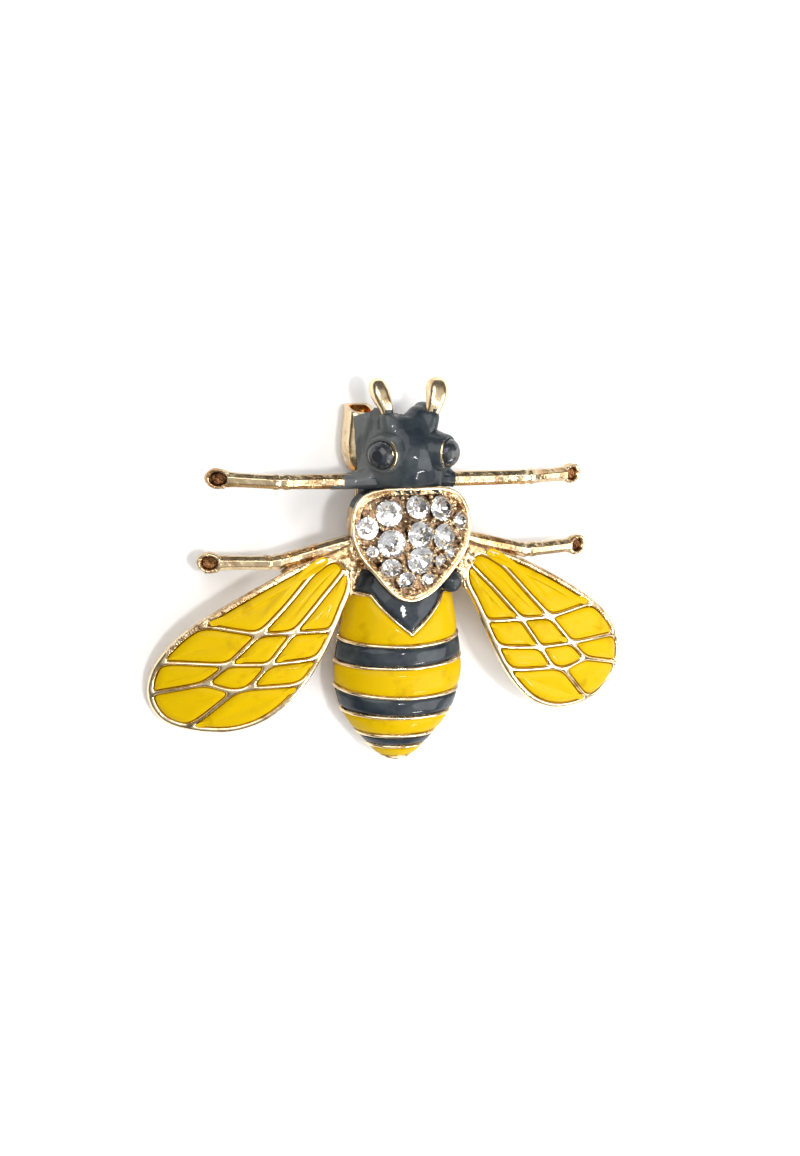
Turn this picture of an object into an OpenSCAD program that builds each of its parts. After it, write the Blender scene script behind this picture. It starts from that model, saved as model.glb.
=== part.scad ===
// Bee brooch: one metal casting with enamel fields, set stones and a pin at the back.
// The face looks up along +Z, the head points to +Y and the wings reach out along X.
// The origin lies under the middle of the brooch, on the surface that it rests on.

/* [Wings] */
// Reach of a wing from its root to its tip
wing_reach = 17.5; // [15:0.1:20]
// Length of a wing from its front root back to its trailing edge
wing_sweep = 15.95; // [14:0.05:17]
// Distance of the wing roots from the middle line
wing_root_x = 5; // [4.8:0.1:5.4]
// Front of the wing roots, measured back from the middle of the shield
wing_root_back = 0.65; // [0:0.05:1.2]
// Radius of the domed wing face
wing_dome_r = 25; // [23:0.5:30]
// Thickness of the wing casting
wing_t = 0.9; // [0.8:0.05:1.2]
// Depth of the sunk cells
cell_depth = 0.5; // [0.3:0.05:0.6]
// Width of the thin veins between two cells, as a share of the wing's reach
vein_share = 0.024; // [0.018:0.001:0.03]
// Width of the rim along the front edge and the tip, as a share of the wing's reach
rim_front_share = 0.0354; // [0.025:0.0002:0.04]
// Width of the rim along the trailing edge, as a share of the wing's reach
rim_back_share = 0.0257; // [0.018:0.0001:0.034]
// Rounding of the cell corners, as a share of the wing's reach
corner_share = 0.0257; // [0.006:0.0001:0.034]

/* [Abdomen] */
// Length of the abdomen, with the part under the shield
abdomen_len = 18; // [16:0.1:20]
// Half width of the abdomen at its widest
abdomen_w = 5.9; // [5.2:0.1:6.2]
// Height of the abdomen above its widest line
abdomen_h = 4.1; // [3.4:0.1:4.6]
// Front end of the abdomen, measured back from the middle of the shield
abdomen_start = 2; // [1.5:0.1:3]
// Width of the metal ridges between the enamel fields
ridge_w = 0.3; // [0.2:0.02:0.5]

/* [Shield and stones] */
// Place of the middle of the shield ahead of the origin
shield_y = 2.8; // [2.5:0.1:3.1]
// Half width of the shield
shield_w = 5.35; // [5.1:0.05:5.6]
// Half length of the shield
shield_len = 4.9; // [4.7:0.05:5.1]
// Height of the crown of the shield floor above the rest surface
shield_z = 7.2; // [6.8:0.1:7.6]
// Radius of the domed shield floor
shield_dome_r = 9.5; // [8:0.5:14]
// Width of the raised rim of the shield
shield_rim_w = 0.45; // [0.3:0.05:0.6]
// Height of the raised rim above the shield floor
shield_rim_h = 0.4; // [0.2:0.05:0.8]
// Thickness of the shield plate under its floor
shield_t = 1; // [0.8:0.1:1.4]
// Overhang of the shield past the body under it
shield_overhang = 1; // [0.6:0.1:1.4]
// Height of the stone girdles above the shield floor
stone_rise = 0.15; // [0.05:0.05:0.4]
// Radius of the small metal grains that hold the stones
grain_r = 0.2; // [0.1:0.02:0.24]

/* [Head] */
// Length of the head
head_len = 7.1; // [6.6:0.1:7.6]
// Half width of the head at its widest
head_w = 4.3; // [4:0.1:4.6]
// Height of the head above its widest line
head_h = 4.8; // [4.2:0.1:5.2]
// Radius of the black eye stones
eye_r = 1.2; // [1.05:0.05:1.35]
// Height of the eye stones above their cups
eye_h = 0.9; // [0.7:0.05:1.2]
// Distance of the eyes from the middle line
eye_x = 3; // [2.7:0.05:3.2]
// Height of the eye cup rims above the rest surface
eye_z = 6.3; // [6:0.1:6.5]
// Outward tilt of the eyes
eye_tilt = 44; // [30:1:55]
// Wall of the eye cups
cup_wall = 0.16; // [0.12:0.02:0.24]
// Distance of the antenna tips from the middle line
antenna_x = 2.7; // [2.3:0.05:3.1]
// Reach of the antennae past the head
antenna_reach = 2.7; // [2.2:0.1:3.4]
// Radius of the antenna knobs
antenna_r = 0.92; // [0.7:0.02:1.1]

/* [Legs] */
// Reach of the front legs from the middle line
front_leg_reach = 17.4; // [15:0.1:19]
// Place of the front legs ahead of the middle of the shield
front_leg_y = 5.45; // [5.2:0.05:5.8]
// Distance that the left front foot sits ahead of the line, and the right one behind it
front_leg_skew = 0.4; // [0:0.05:0.6]
// Reach of the second legs from the middle line
second_leg_reach = 18.2; // [16:0.1:20]
// Place of the second feet, measured back from the middle of the shield
second_leg_back = 1.45; // [1.1:0.05:1.6]
// Thickness of the legs
leg_w = 1.3; // [1:0.05:1.5]
// Height of the knees above the rest surface
knee_z = 4.2; // [3.8:0.1:4.5]
// Height of the feet above the rest surface
foot_z = 2.1; // [1.6:0.1:2.6]

/* [Back] */
// Height of the flat back of the body above the rest surface
back_z = 1.2; // [1.1:0.05:1.5]
// Height of the widest line of the body above the rest surface
waist_z = 2.5; // [2.3:0.05:2.8]
// Distance that the sides slope in from the widest line to the flat back
tuck = 0.5; // [0.2:0.1:0.8]
// Distance of the pin from the middle line
pin_x = 3.15; // [3:0.05:3.3]
// Height of the pin above the rest surface
pin_z = 0.6; // [0.5:0.05:0.7]
// Radius of the pin
pin_r = 0.35; // [0.25:0.05:0.4]
// Length of the hinge block
hinge_len = 3; // [2:0.1:4]
// Width of the hinge block
hinge_w = 2; // [1.6:0.1:2.4]
// Length of the catch
catch_len = 5.6; // [4.5:0.1:6]
// Outer width of the catch
catch_w = 2.4; // [2.2:0.1:2.7]
// Height of the catch
catch_h = 2.7; // [2.5:0.1:3]
// Wall of the catch
catch_wall = 0.5; // [0.4:0.05:0.6]

/* [Enamel] */
// Thickness of the enamel on the head and the abdomen
enamel_t = 0.45; // [0.3:0.05:0.6]
// Clearance around every enamel field and stone
gap = 0.04; // [0.03:0.01:0.06]

/* [Hidden] */
eps = 0.01;
dark = "DarkSlateGray";
metal = "Goldenrod";
yellow = "Gold";

head_back_y = shield_y + shield_len - 0.3;
head_front_y = head_back_y + head_len;
abdomen_front_y = shield_y - abdomen_start;
tail_y = abdomen_front_y - abdomen_len;
wing_front_y = shield_y - wing_root_back;
vein_w = vein_share * wing_reach;
rim_front_w = rim_front_share * wing_reach;
rim_back_w = rim_back_share * wing_reach;
cell_corner = corner_share * wing_reach;
shield_centre_z = shield_z - shield_dome_r;
shield_top_r = shield_dome_r + shield_rim_h;
catch_y = head_front_y - catch_len;
catch_x = -pin_x;
hinge_y = abdomen_front_y - 0.67 * abdomen_len;
antenna_z = waist_z + 0.5 * head_h;
root_r = 1.3;
root_end_r = 0.7;
web_r = 0.42;
saddle_r = 1.5;
saddle_y = head_front_y + 0.85;
cup_lip = 0.12;
cup_depth = 0.5 * eye_r;
collar_r = 0.95;
girdle = 0.08;
grain_sink = 0.15;
catch_corner = 0.5;
channel_corner = 0.3;
channel_lift = 0.3;
cover_margin = 0.3;
cover_t = 0.3;
pin_stop = 0.8;
through = 1;
far = 2 * (wing_root_x + wing_reach);

// Wing chart. Columns: share of wing_reach outwards, share of wing_sweep backwards.
// The first WING_RIM rows run along the outer edge, from the front root round the tip to
// the back root. The other rows are the points where the veins bend or meet.
WING_RIM = 23;
WING_TIP = 12;
WING = [
    [0.075, 0.00], [0.25, 0.038], [0.325, 0.07], [0.49, 0.16], [0.655, 0.265], [0.79, 0.365],
    [0.89, 0.465], [0.965, 0.585], [0.995, 0.68], [1.00, 0.78], [0.97, 0.875], [0.905, 0.95],
    [0.81, 0.985], [0.70, 1.00], [0.59, 0.995], [0.49, 0.96], [0.41, 0.91], [0.325, 0.825],
    [0.24, 0.71], [0.165, 0.565], [0.10, 0.415], [0.05, 0.29], [0.00, 0.16],
    [0.22, 0.105], [0.365, 0.28], [0.49, 0.42], [0.025, 0.07], [0.16, 0.22], [0.32, 0.415],
    [0.635, 0.59], [0.44, 0.59], [0.74, 0.70], [0.60, 0.745], [0.53, 0.725]
];

// Corners of each wing cell, as rows of the wing chart, clockwise on the right wing
CELLS = [
    [0, 1, 2, 3, 4, 5, 25, 24, 23],
    [0, 23, 24, 25, 28, 27, 26],
    [26, 27, 28, 20, 21, 22],
    [5, 6, 7, 29, 25],
    [25, 29, 30, 28],
    [28, 30, 19, 20],
    [7, 8, 9, 31, 29],
    [29, 31, 32, 33, 30],
    [30, 33, 18, 19],
    [9, 10, 11, 12, 32, 31],
    [12, 13, 14, 15, 16, 17, 18, 33, 32]
];

// Half outline of the shield. Columns: share of shield_w, share of shield_len.
SHIELD = [
    [0, 1], [0.45, 0.99], [0.8, 0.87], [0.96, 0.6], [1, 0.25], [0.93, -0.05],
    [0.8, -0.28], [0.64, -0.48], [0.47, -0.7], [0.25, -0.92], [0, -1]
];

// Stones on the shield. Columns: share of shield_w, share of shield_len, radius.
STONES = [
    [-0.43, 0.60, 1.1], [0.05, 0.69, 1.0], [0.47, 0.64, 1.05], [-0.775, 0.33, 0.92],
    [0.81, 0.38, 0.72], [-0.41, 0.07, 1.15], [0.065, 0.215, 1.1], [0.49, 0.155, 1.05],
    [0.075, -0.235, 1.15], [-0.40, -0.375, 0.85], [-0.13, -0.60, 0.78], [0.42, -0.27, 0.5],
    [0.60, -0.14, 0.5], [-0.70, -0.08, 0.5], [0.235, -0.60, 0.6]
];

// Metal grains between the stones. Columns: share of shield_w, share of shield_len.
GRAINS = [
    [-0.55, 0.335], [-0.2, 0.46], [-0.14, 0.37], [0.27, 0.44], [-0.16, -0.1], [0.31, -0.05],
    [-0.575, -0.2], [-0.19, -0.375], [0.07, -0.55], [0.295, -0.42], [0.615, 0.375],
    [-0.05, -0.8], [0.11, -0.8]
];

// Abdomen sections. Columns: share of abdomen_len, share of abdomen_w, share of abdomen_h.
ABDOMEN = [
    [0, 0.61, 0.66], [0.144, 0.805, 0.86], [0.256, 0.88, 0.94], [0.367, 0.94, 0.98],
    [0.561, 1, 1], [0.728, 0.88, 0.93], [0.811, 0.72, 0.82], [0.867, 0.575, 0.7],
    [0.922, 0.43, 0.55], [0.972, 0.27, 0.36], [1, 0.12, 0.2]
];

// Edges between the enamel fields of the abdomen, as shares of abdomen_len.
// Columns: on the middle line, at the left side, at the right side.
EDGES = [
    [0.165, 0.02, 0.02], [0.33, 0.14, 0.14], [0.389, 0.367, 0.358], [0.497, 0.483, 0.47],
    [0.648, 0.605, 0.64], [0.75, 0.728, 0.758], [0.85, 0.85, 0.858], [0.915, 0.912, 0.92],
    [0.985, 0.985, 0.985]
];
BANDS = ["abdomen_collar", "abdomen_yellow_1", "abdomen_dark_1", "abdomen_yellow_2",
    "abdomen_dark_2", "abdomen_yellow_3", "abdomen_dark_3", "abdomen_tip"];

// Head sections. Columns: share of head_len, share of head_w, share of head_h.
HEAD = [
    [0, 0.97, 0.72], [0.14, 1, 0.84], [0.32, 0.93, 0.95], [0.48, 0.87, 0.97],
    [0.66, 0.82, 0.88], [0.84, 0.74, 0.72], [1, 0.62, 0.5]
];

// Front leg sections. Columns: share of the reach, share of the way down from knee to
// foot, share of leg_w.
LEG = [
    [0.14, -0.12, 1], [0.61, -0.06, 0.92], [0.615, -0.05, 1.25], [0.64, -0.03, 1.25],
    [0.645, 0, 0.85], [0.665, 0.03, 0.85], [0.67, 0.04, 1.2], [0.69, 0.06, 1.2],
    [0.7, 0.1, 0.95], [0.86, 0.62, 0.85], [0.875, 0.68, 1.35], [0.93, 0.88, 1.55],
    [0.975, 1, 1.45], [1, 1.05, 1]
];

// Name of the one node to draw, or all
SIDES = ["left", "right"];
function two(n) = n < 10 ? str("0", n) : str(n);

// Smooth value of one column of a table at share t of its first column
function row_of(table, t, i = 0) =
    i >= len(table) - 2 || t <= table[i + 1][0] ? i : row_of(table, t, i + 1);
function slope(a, b, col) = (b[col] - a[col]) / (b[0] - a[0]);
function smooth_column(table, col, t) =
    let (i = row_of(table, t))
    let (b = table[i], c = table[i + 1])
    let (before = table[max(i - 1, 0)], after = table[min(i + 2, len(table) - 1)])
    let (h = c[0] - b[0], f = (t - b[0]) / h)
    let (m = slope(before, c, col) * h, n = slope(b, after, col) * h)
    b[col] * (2 * pow(f, 3) - 3 * f * f + 1) + m * (pow(f, 3) - 2 * f * f + f)
        + c[col] * (3 * f * f - 2 * pow(f, 3)) + n * (pow(f, 3) - f * f);

// Point halfway between p[i] and the next point of a closed outline, on a smooth curve
function at(p, i) = p[(i + len(p)) % len(p)];
function mid_curve(p, i) = (9 * (at(p, i) + at(p, i + 1)) - at(p, i - 1) - at(p, i + 2)) / 16;
function smooth_ring(p) = [for (i = [0 : len(p) - 1]) for (q = [p[i], mid_curve(p, i)]) q];

// A closed clockwise outline with each edge moved inwards by its own distance
function way(a, b) = (b - a) / norm(b - a);
function inward(v) = [v[1], -v[0]];
function inset_corner(a, v, b, da, db) =
    let (u = way(a, v), w = way(v, b), turn = cross(u, w))
    abs(turn) < 0.08 ? v + inward(u + w) * (da + db) / 4 : v + (da * w - db * u) / -turn;
function inset(p, d) =
    [for (i = [0 : len(p) - 1])
        inset_corner(at(p, i - 1), p[i], at(p, i + 1), at(d, i - 1), d[i])];

// A closed outline with its sharp corners rounded by three points each
function rounded(p, r) =
    [for (i = [0 : len(p) - 1])
        let (v = p[i], a = at(p, i - 1) - v, b = at(p, i + 1) - v)
        let (c = min(r, norm(a) / 2, norm(b) / 2), s = v + c * a / norm(a), e = v + c * b / norm(b))
        for (q = norm(a / norm(a) + b / norm(b)) < 0.35 ? [v] : [s, (s + 2 * v + e) / 4, e]) q];

// Wing outline and cells in plan, on the right wing
function wing_point(i) =
    [wing_root_x + WING[i][0] * wing_reach, wing_front_y - WING[i][1] * wing_sweep];
WING_EDGE = smooth_ring([for (i = [0 : WING_RIM - 1]) wing_point(i)]);
WING_MIDDLE = [wing_root_x + 0.2 * wing_reach, wing_front_y - 0.435 * wing_sweep];

// Height of the wing dome's centre, with the underside of the wing tip on the rest surface
function dome_height(reach) = sqrt(pow(wing_dome_r, 2) - pow(reach, 2));
WING_FAR = max([for (p = WING_EDGE) norm(p - WING_MIDDLE)]);
WING_CENTRE = [each WING_MIDDLE, -(1 - wing_t / wing_dome_r) * dome_height(WING_FAR) - eps];
wing_crown_z = WING_CENTRE[2] + wing_dome_r;
function on_rim(i, j) = i < WING_RIM && j == i + 1;
function edge_inset(i, j) =
    on_rim(i, j) ? (i < WING_TIP ? rim_front_w : rim_back_w) : vein_w / 2;
function cell_outline(k, clear = 0) =
    let (c = CELLS[k], p = [for (i = c) wing_point(i)])
    let (d = [for (i = [0 : len(c) - 1]) edge_inset(c[i], at(c, i + 1)) + clear])
    rounded(inset(p, d), cell_corner);

// The same thing on the left side when side is below zero
module on_side(side) {
    if (side < 0) mirror([1, 0, 0]) children();
    else children();
}

module wing_ball(drop) {
    translate(WING_CENTRE) rotate([90, 0, 0]) sphere(wing_dome_r - drop, $fn = 64);
}

// The wing's outer edge as a cone from the centre of its dome, square to the domed face
module wing_cone(points) {
    low = 0.6;
    high = 1.05;
    spread = [for (p = points)
        (p - WING_MIDDLE) * wing_dome_r / dome_height(norm(p - WING_MIDDLE))];
    translate(WING_CENTRE + [0, 0, low * wing_dome_r])
        linear_extrude(height = (high - low) * wing_dome_r, scale = high / low)
            polygon(low * spread);
}

module wing_plan(points) {
    linear_extrude(height = wing_crown_z + 1) polygon(points);
}

module wing_frame() {
    difference() {
        intersection() {
            wing_cone(WING_EDGE);
            wing_ball(0);
        }
        wing_ball(wing_t);
        for (k = [0 : len(CELLS) - 1])
            difference() {
                wing_plan(cell_outline(k));
                wing_ball(cell_depth);
            }
    }
}

module wing_cell(k) {
    intersection() {
        wing_plan(cell_outline(k, gap));
        difference() {
            wing_ball(gap);
            wing_ball(cell_depth - gap);
        }
    }
}

// Closed solid between two grids of points. Rows go to +X, and the points of a row to -Y.
function tris(a, b, c, d) = [[a, b, c], [a, c, d]];
module grid_solid(top, bottom) {
    nu = len(top) - 1;
    nv = len(top[0]) - 1;
    n = (nu + 1) * (nv + 1);
    function at_top(i, j) = i * (nv + 1) + j;
    function at_bottom(i, j) = n + at_top(i, j);
    faces = concat(
        [for (i = [0 : nu - 1]) for (j = [0 : nv - 1])
            for (f = tris(at_top(i, j), at_top(i + 1, j), at_top(i + 1, j + 1), at_top(i, j + 1))) f],
        [for (i = [0 : nu - 1]) for (j = [0 : nv - 1])
            for (f = tris(at_bottom(i, j), at_bottom(i, j + 1),
                at_bottom(i + 1, j + 1), at_bottom(i + 1, j))) f],
        [for (i = [0 : nu - 1])
            for (f = tris(at_top(i, 0), at_bottom(i, 0), at_bottom(i + 1, 0), at_top(i + 1, 0))) f],
        [for (i = [0 : nu - 1])
            for (f = tris(at_top(i + 1, nv), at_bottom(i + 1, nv), at_bottom(i, nv), at_top(i, nv))) f],
        [for (j = [0 : nv - 1])
            for (f = tris(at_top(0, j + 1), at_bottom(0, j + 1), at_bottom(0, j), at_top(0, j))) f],
        [for (j = [0 : nv - 1])
            for (f = tris(at_top(nu, j), at_bottom(nu, j), at_bottom(nu, j + 1), at_top(nu, j + 1))) f]
    );
    points = [for (g = [top, bottom]) for (line = g) for (p = line) p];
    polyhedron(points, faces, convexity = 6);
}

// Point of a domed body at side share u from -1 to 1 and length share t, sunk by off
function dome_point(table, w, h, start_y, length, u, t, off) =
    let (half = smooth_column(table, 1, t) * w - off, rise = smooth_column(table, 2, t) * h - off)
    [half * sin(90 * u), start_y + length * t, waist_z + rise * cos(90 * u)];
function abdomen_point(u, t, off) =
    dome_point(ABDOMEN, abdomen_w, abdomen_h, abdomen_front_y, -abdomen_len, u, t, off);
function head_point(u, t, off) =
    dome_point(HEAD, head_w, head_h, head_back_y, head_len, u, t, off);

// A grid's underside at height z, drawn in a little so that it ends inside the solid below
function dropped(grid, z) =
    let (ends = grid[0], middle = (ends[0][1] + ends[len(ends) - 1][1]) / 2)
    [for (line = grid) [for (p = line) [0.8 * p[0], middle + 0.9 * (p[1] - middle), z]]];
function shares(n, a = 0, b = 1) = [for (i = [0 : n]) a + (b - a) * i / n];
// Side shares of the fields, with a clearance above the widest line
ACROSS = shares(16, 2 * gap / abdomen_h - 1, 1 - 2 * gap / abdomen_h);

// Closed solid between two clockwise outlines of the same number of points
module loft(bottom, top, low, high) {
    n = len(top);
    points = concat([for (p = bottom) [p[0], p[1], low]], [for (p = top) [p[0], p[1], high]]);
    faces = concat(
        [[for (i = [n - 1 : -1 : 0]) i]],
        [for (i = [0 : n - 1]) for (f = tris(i, (i + 1) % n, n + (i + 1) % n, n + i)) f],
        [[for (i = [0 : n - 1]) n + i]]
    );
    polyhedron(points, faces, convexity = 4);
}

// Share of abdomen_len of one edge between two fields at side share u
function edge_t(k, u) =
    let (e = EDGES[k], side = u < 0 ? e[1] : e[2])
    k > 1 ? e[0] + (side - e[0]) * pow(abs(u), 1.5) : e[0] + (side - e[0]) * min(1, abs(u) / 0.5);

// Field of the abdomen between two edges: a curved tile from depth low to depth high
function field_grid(k, clear, off, rows) =
    [for (u = ACROSS)
        let (a = edge_t(k, u) + clear / abdomen_len, b = edge_t(k + 1, u) - clear / abdomen_len)
        [for (s = shares(rows)) abdomen_point(u, a + (b - a) * s, off)]];
module abdomen_field(k) {
    clear = ridge_w / 2 + gap;
    rows = k < 2 ? 4 : 2;
    difference() {
        grid_solid(field_grid(k, clear, 0, rows), field_grid(k, clear, enamel_t - gap, rows));
        if (k == 0) difference() {
            shield_prism(-gap);
            shield_ball(shield_dome_r - shield_t - gap);
        }
    }
}

// Metal under the fields, with a ridge up to the outer surface along each edge between two.
// Columns of the list: share of abdomen_len, depth under the outer surface.
function core_rows(u) =
    let (half = ridge_w / 2 / abdomen_len, n = len(BANDS))
    let (e = [for (k = [0 : n]) edge_t(k, u)])
    [[0, enamel_t], [0.6 * e[1], enamel_t],
        for (k = [1 : n - 1]) each [
            [e[k] - half, enamel_t], [e[k] - half, 0], [e[k] + half, 0], [e[k] + half, enamel_t],
            [(e[k] + e[k + 1]) / 2, enamel_t]
        ],
        [e[n] - half, enamel_t], [e[n] - half, 0], [1, 0]];
function core_side(u) =
    [for (t = concat([0], [for (r = core_rows(u)) if (r[1] == 0) r[0]])) abdomen_point(u, t, 0)];

module abdomen_core() {
    core = [for (u = shares(16, -1, 1)) [for (r = core_rows(u)) abdomen_point(u, r[0], r[1])]];
    grid_solid(core, dropped(core, (back_z + waist_z) / 2));
    skirt(core_side(1), core_side(-1));
}

// Solid under the widest line, sloping in towards the back, between two rows of points that
// run along its right and its left side
module skirt(right, left) {
    function ring(shift) = concat(
        [for (p = right) [p[0] + shift, p[1]]],
        [for (i = [len(left) - 1 : -1 : 0]) [left[i][0] - shift, left[i][1]]]);
    loft(ring(-tuck), ring(0), back_z, waist_z);
}

// Shield for the stones
function shield_outline(shrink = 0) =
    let (half = [for (p = SHIELD) [p[0] * shield_w, p[1] * shield_len]])
    let (full = concat(half, [for (i = [len(half) - 2 : -1 : 1]) [-half[i][0], half[i][1]]]))
    inset(smooth_ring(full), [for (i = [1 : 2 * len(full)]) shrink]);

module shield_prism(shrink = 0) {
    translate([0, shield_y, back_z])
        linear_extrude(height = shield_z + 2) polygon(shield_outline(shrink));
}

module shield_ball(r) {
    translate([0, shield_y, shield_centre_z]) rotate([90, 0, 0]) sphere(r, $fn = 35);
}

module on_shield(share_x, share_y, rise = 0) {
    x = share_x * shield_w;
    y = share_y * shield_len;
    translate([0, shield_y, shield_centre_z])
        rotate([0, asin(norm([x, y]) / shield_dome_r), atan2(y, x)])
            translate([0, 0, shield_dome_r + rise]) children();
}

// Pocket for a stone with a radius of r: twelve sides around its girdle, and a cone below it
module seat(r) {
    wide = (r + gap) / cos(15);
    rotate(15) {
        translate([0, 0, -girdle * r - gap]) cylinder(h = shield_rim_h + 1, r = wide, $fn = 12);
        translate([0, 0, -r - gap])
            cylinder(h = (1 - girdle) * r + eps, r1 = 0.3 * r, r2 = wide, $fn = 12);
    }
}

module shield() {
    difference() {
        union() {
            difference() {
                intersection() {
                    shield_prism();
                    shield_ball(shield_top_r);
                }
                shield_ball(shield_dome_r - shield_t);
            }
            intersection() {
                shield_prism(shield_overhang);
                shield_ball(shield_dome_r - shield_t / 2);
            }
        }
        difference() {
            shield_prism(shield_rim_w);
            shield_ball(shield_dome_r);
        }
        for (s = STONES) on_shield(s[0], s[1], stone_rise) seat(s[2]);
    }
    for (g = GRAINS) on_shield(g[0], g[1], -grain_sink)
        cylinder(h = grain_sink + stone_rise + 2 * grain_r, r1 = grain_r, r2 = grain_r * 0.6, $fn = 6);
}

// Round brilliant: octagonal table, sixteen crown facets and a pointed base
module cut_stone(r, crown, table_share, base) {
    function ring(n, rad, z, turn = 0) =
        [for (i = [0 : n - 1]) [rad * cos(360 * i / n + turn), rad * sin(360 * i / n + turn), z]];
    n = 8;
    points = concat(ring(n, r * table_share, crown, 22.5), ring(2 * n, r, 0),
        ring(2 * n, r, -girdle * r), [[0, 0, -base]]);
    apex = 5 * n;
    faces = concat(
        [[for (i = [n - 1 : -1 : 0]) i]],
        [for (i = [0 : n - 1]) each [
            [i, n + 2 * i + 1, n + 2 * i],
            [i, n + (2 * i + 2) % (2 * n), n + 2 * i + 1],
            [i, (i + 1) % n, n + (2 * i + 2) % (2 * n)]
        ]],
        [for (i = [0 : 2 * n - 1]) each [
            [n + i, n + (i + 1) % (2 * n), 3 * n + (i + 1) % (2 * n)],
            [n + i, 3 * n + (i + 1) % (2 * n), 3 * n + i],
            [3 * n + i, 3 * n + (i + 1) % (2 * n), apex]
        ]]
    );
    polyhedron(points, faces, convexity = 2);
}

module stone(i) {
    s = STONES[i];
    on_shield(s[0], s[1], stone_rise) cut_stone(s[2], 0.42 * s[2], 0.55, 0.8 * s[2]);
}

// Eyes
module at_eye(side) {
    translate([side * eye_x, head_back_y + 0.48 * head_len, eye_z])
        rotate([0, side * eye_tilt, 0]) children();
}

module eye(side) {
    at_eye(side) cut_stone(eye_r, eye_h, 0.4, 0.35 * eye_r);
}

module eye_cup(side) {
    foot = cup_depth + eye_r;
    at_eye(side)
        difference() {
            translate([0, 0, -foot])
                cylinder(h = foot + cup_lip, r = eye_r + gap + cup_wall, $fn = 20);
            translate([0, 0, -cup_depth]) cylinder(h = cup_depth + 1, r = eye_r + gap, $fn = 20);
        }
}

// Antennae, swollen towards their tips
module antenna(side, grow = 0) {
    root = [side * 0.72 * antenna_x, head_front_y - antenna_r, antenna_z - 0.2 * antenna_r];
    neck = [side * 0.8 * antenna_x, head_front_y + 0.1 * antenna_r, antenna_z];
    knob = [side * 0.97 * antenna_x, head_front_y + 0.5 * antenna_reach, antenna_z - 0.1 * head_h];
    tip = [side * antenna_x, head_front_y + antenna_reach - 0.9 * antenna_r, antenna_z - 0.18 * head_h];
    hull() {
        translate(root) sphere(0.6 * antenna_r + grow, $fn = 10);
        translate(neck) sphere(0.64 * antenna_r + grow, $fn = 10);
    }
    hull() {
        translate(neck) sphere(0.64 * antenna_r + grow, $fn = 10);
        translate(knob) sphere(antenna_r + grow, $fn = 10);
    }
    hull() {
        translate(knob) sphere(antenna_r + grow, $fn = 10);
        translate(tip) sphere(0.9 * antenna_r + grow, $fn = 10);
    }
}

// Legs, built for one side as an eight sided bar through its sections
module leg(reach, root, knee, foot, grow = 0) {
    function place(row) =
        let (s = row[1], out = min(1, (row[0] - 0.14) / 0.49))
        let (q = s < 0 ? root + (knee - root) * out : knee + (foot - knee) * s)
        [row[0] * reach, q[0], q[1]];
    function ring(row) =
        let (p = place(row), r = row[2] * leg_w / 2 + grow)
        [for (k = [0 : 7]) p + r * [0, cos(45 * k + 22.5), sin(45 * k + 22.5)]];
    n = len(LEG);
    points = [for (row = LEG) each ring(row)];
    faces = concat(
        [[for (k = [0 : 7]) k]],
        [for (i = [0 : n - 2]) for (k = [0 : 7])
            for (f = tris(8 * i + k, 8 * (i + 1) + k, 8 * (i + 1) + (k + 1) % 8, 8 * i + (k + 1) % 8)) f],
        [[for (k = [7 : -1 : 0]) 8 * (n - 1) + k]]
    );
    polyhedron(points, faces, convexity = 4);
}

module front_leg(side, grow = 0) {
    y = shield_y + front_leg_y;
    skew = -side * front_leg_skew;
    scale([side, 1, 1])
        leg(front_leg_reach, [y, knee_z + 0.3], [y + skew / 2, knee_z], [y + skew, foot_z], grow);
}

module second_leg(side) {
    y = shield_y - second_leg_back;
    scale([side, 1, 1])
        leg(second_leg_reach, [shield_y + 0.9, knee_z + 0.5], [y, knee_z - 0.7], [y, foot_z]);
}

// Rough metal between a second leg and the front edge of the wing behind it, from the wing's
// root to a share of wing_reach outwards and of wing_sweep backwards
function leg_axis(x) =
    let (start = [shield_y + 0.9, knee_z + 0.5], end = [shield_y - second_leg_back, knee_z - 0.7])
    start + (end - start) * min(1, (x / second_leg_reach - LEG[0][0]) / 0.49);
function web_at_leg(out) =
    let (x = wing_root_x + out * wing_reach)
    [x, each leg_axis(x)];
function web_at_wing(out, back) =
    let (x = wing_root_x + out * wing_reach, y = wing_front_y - back * wing_sweep - web_r / 2)
    [x, y, WING_CENTRE[2] + dome_height(norm([x, y] - WING_MIDDLE)) - wing_t / 2];
module leg_web(side, grow = 0) {
    scale([side, 1, 1])
        hull()
            for (spot = [web_at_leg(0.08), web_at_wing(0.08, 0), web_at_leg(0.35), web_at_wing(0.35, 0.085)])
                translate(spot) sphere(web_r + grow, $fn = 10);
}

// Lumps of metal that join each wing and second leg to the body
module wing_root(side, grow = 0) {
    hull() {
        translate([side * 0.8 * shield_w, shield_y - 0.1, waist_z + 1.23 * root_r])
            sphere(root_r + grow, $fn = 12);
        translate([side * (wing_root_x + 0.08 * wing_reach), wing_front_y - 0.044 * wing_sweep,
            wing_crown_z - 1.5 * wing_t]) sphere(root_end_r + grow, $fn = 10);
        translate([side * (wing_root_x + 0.02 * wing_reach), wing_front_y - 0.163 * wing_sweep,
            wing_crown_z - 1.33 * wing_t]) sphere(root_end_r + grow, $fn = 10);
    }
}

// Enamel of one wing cell, clear of the metal lumps at the root of its wing
module wing_enamel(side, k) {
    difference() {
        on_side(side) wing_cell(k);
        if (k < 3) {
            wing_root(side, gap);
            leg_web(side, gap);
        }
    }
}

// Head
module head_solid(off) {
    top = [for (u = shares(14, -1, 1))
        [for (t = shares(7, 1 - off / head_len, off / head_len)) head_point(u, t, off)]];
    grid_solid(top, dropped(top, (back_z + waist_z) / 2));
}

module saddle(r) {
    translate([0, saddle_y, 0]) cylinder(h = waist_z + head_h + 1, r = r, $fn = 24);
}

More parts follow.
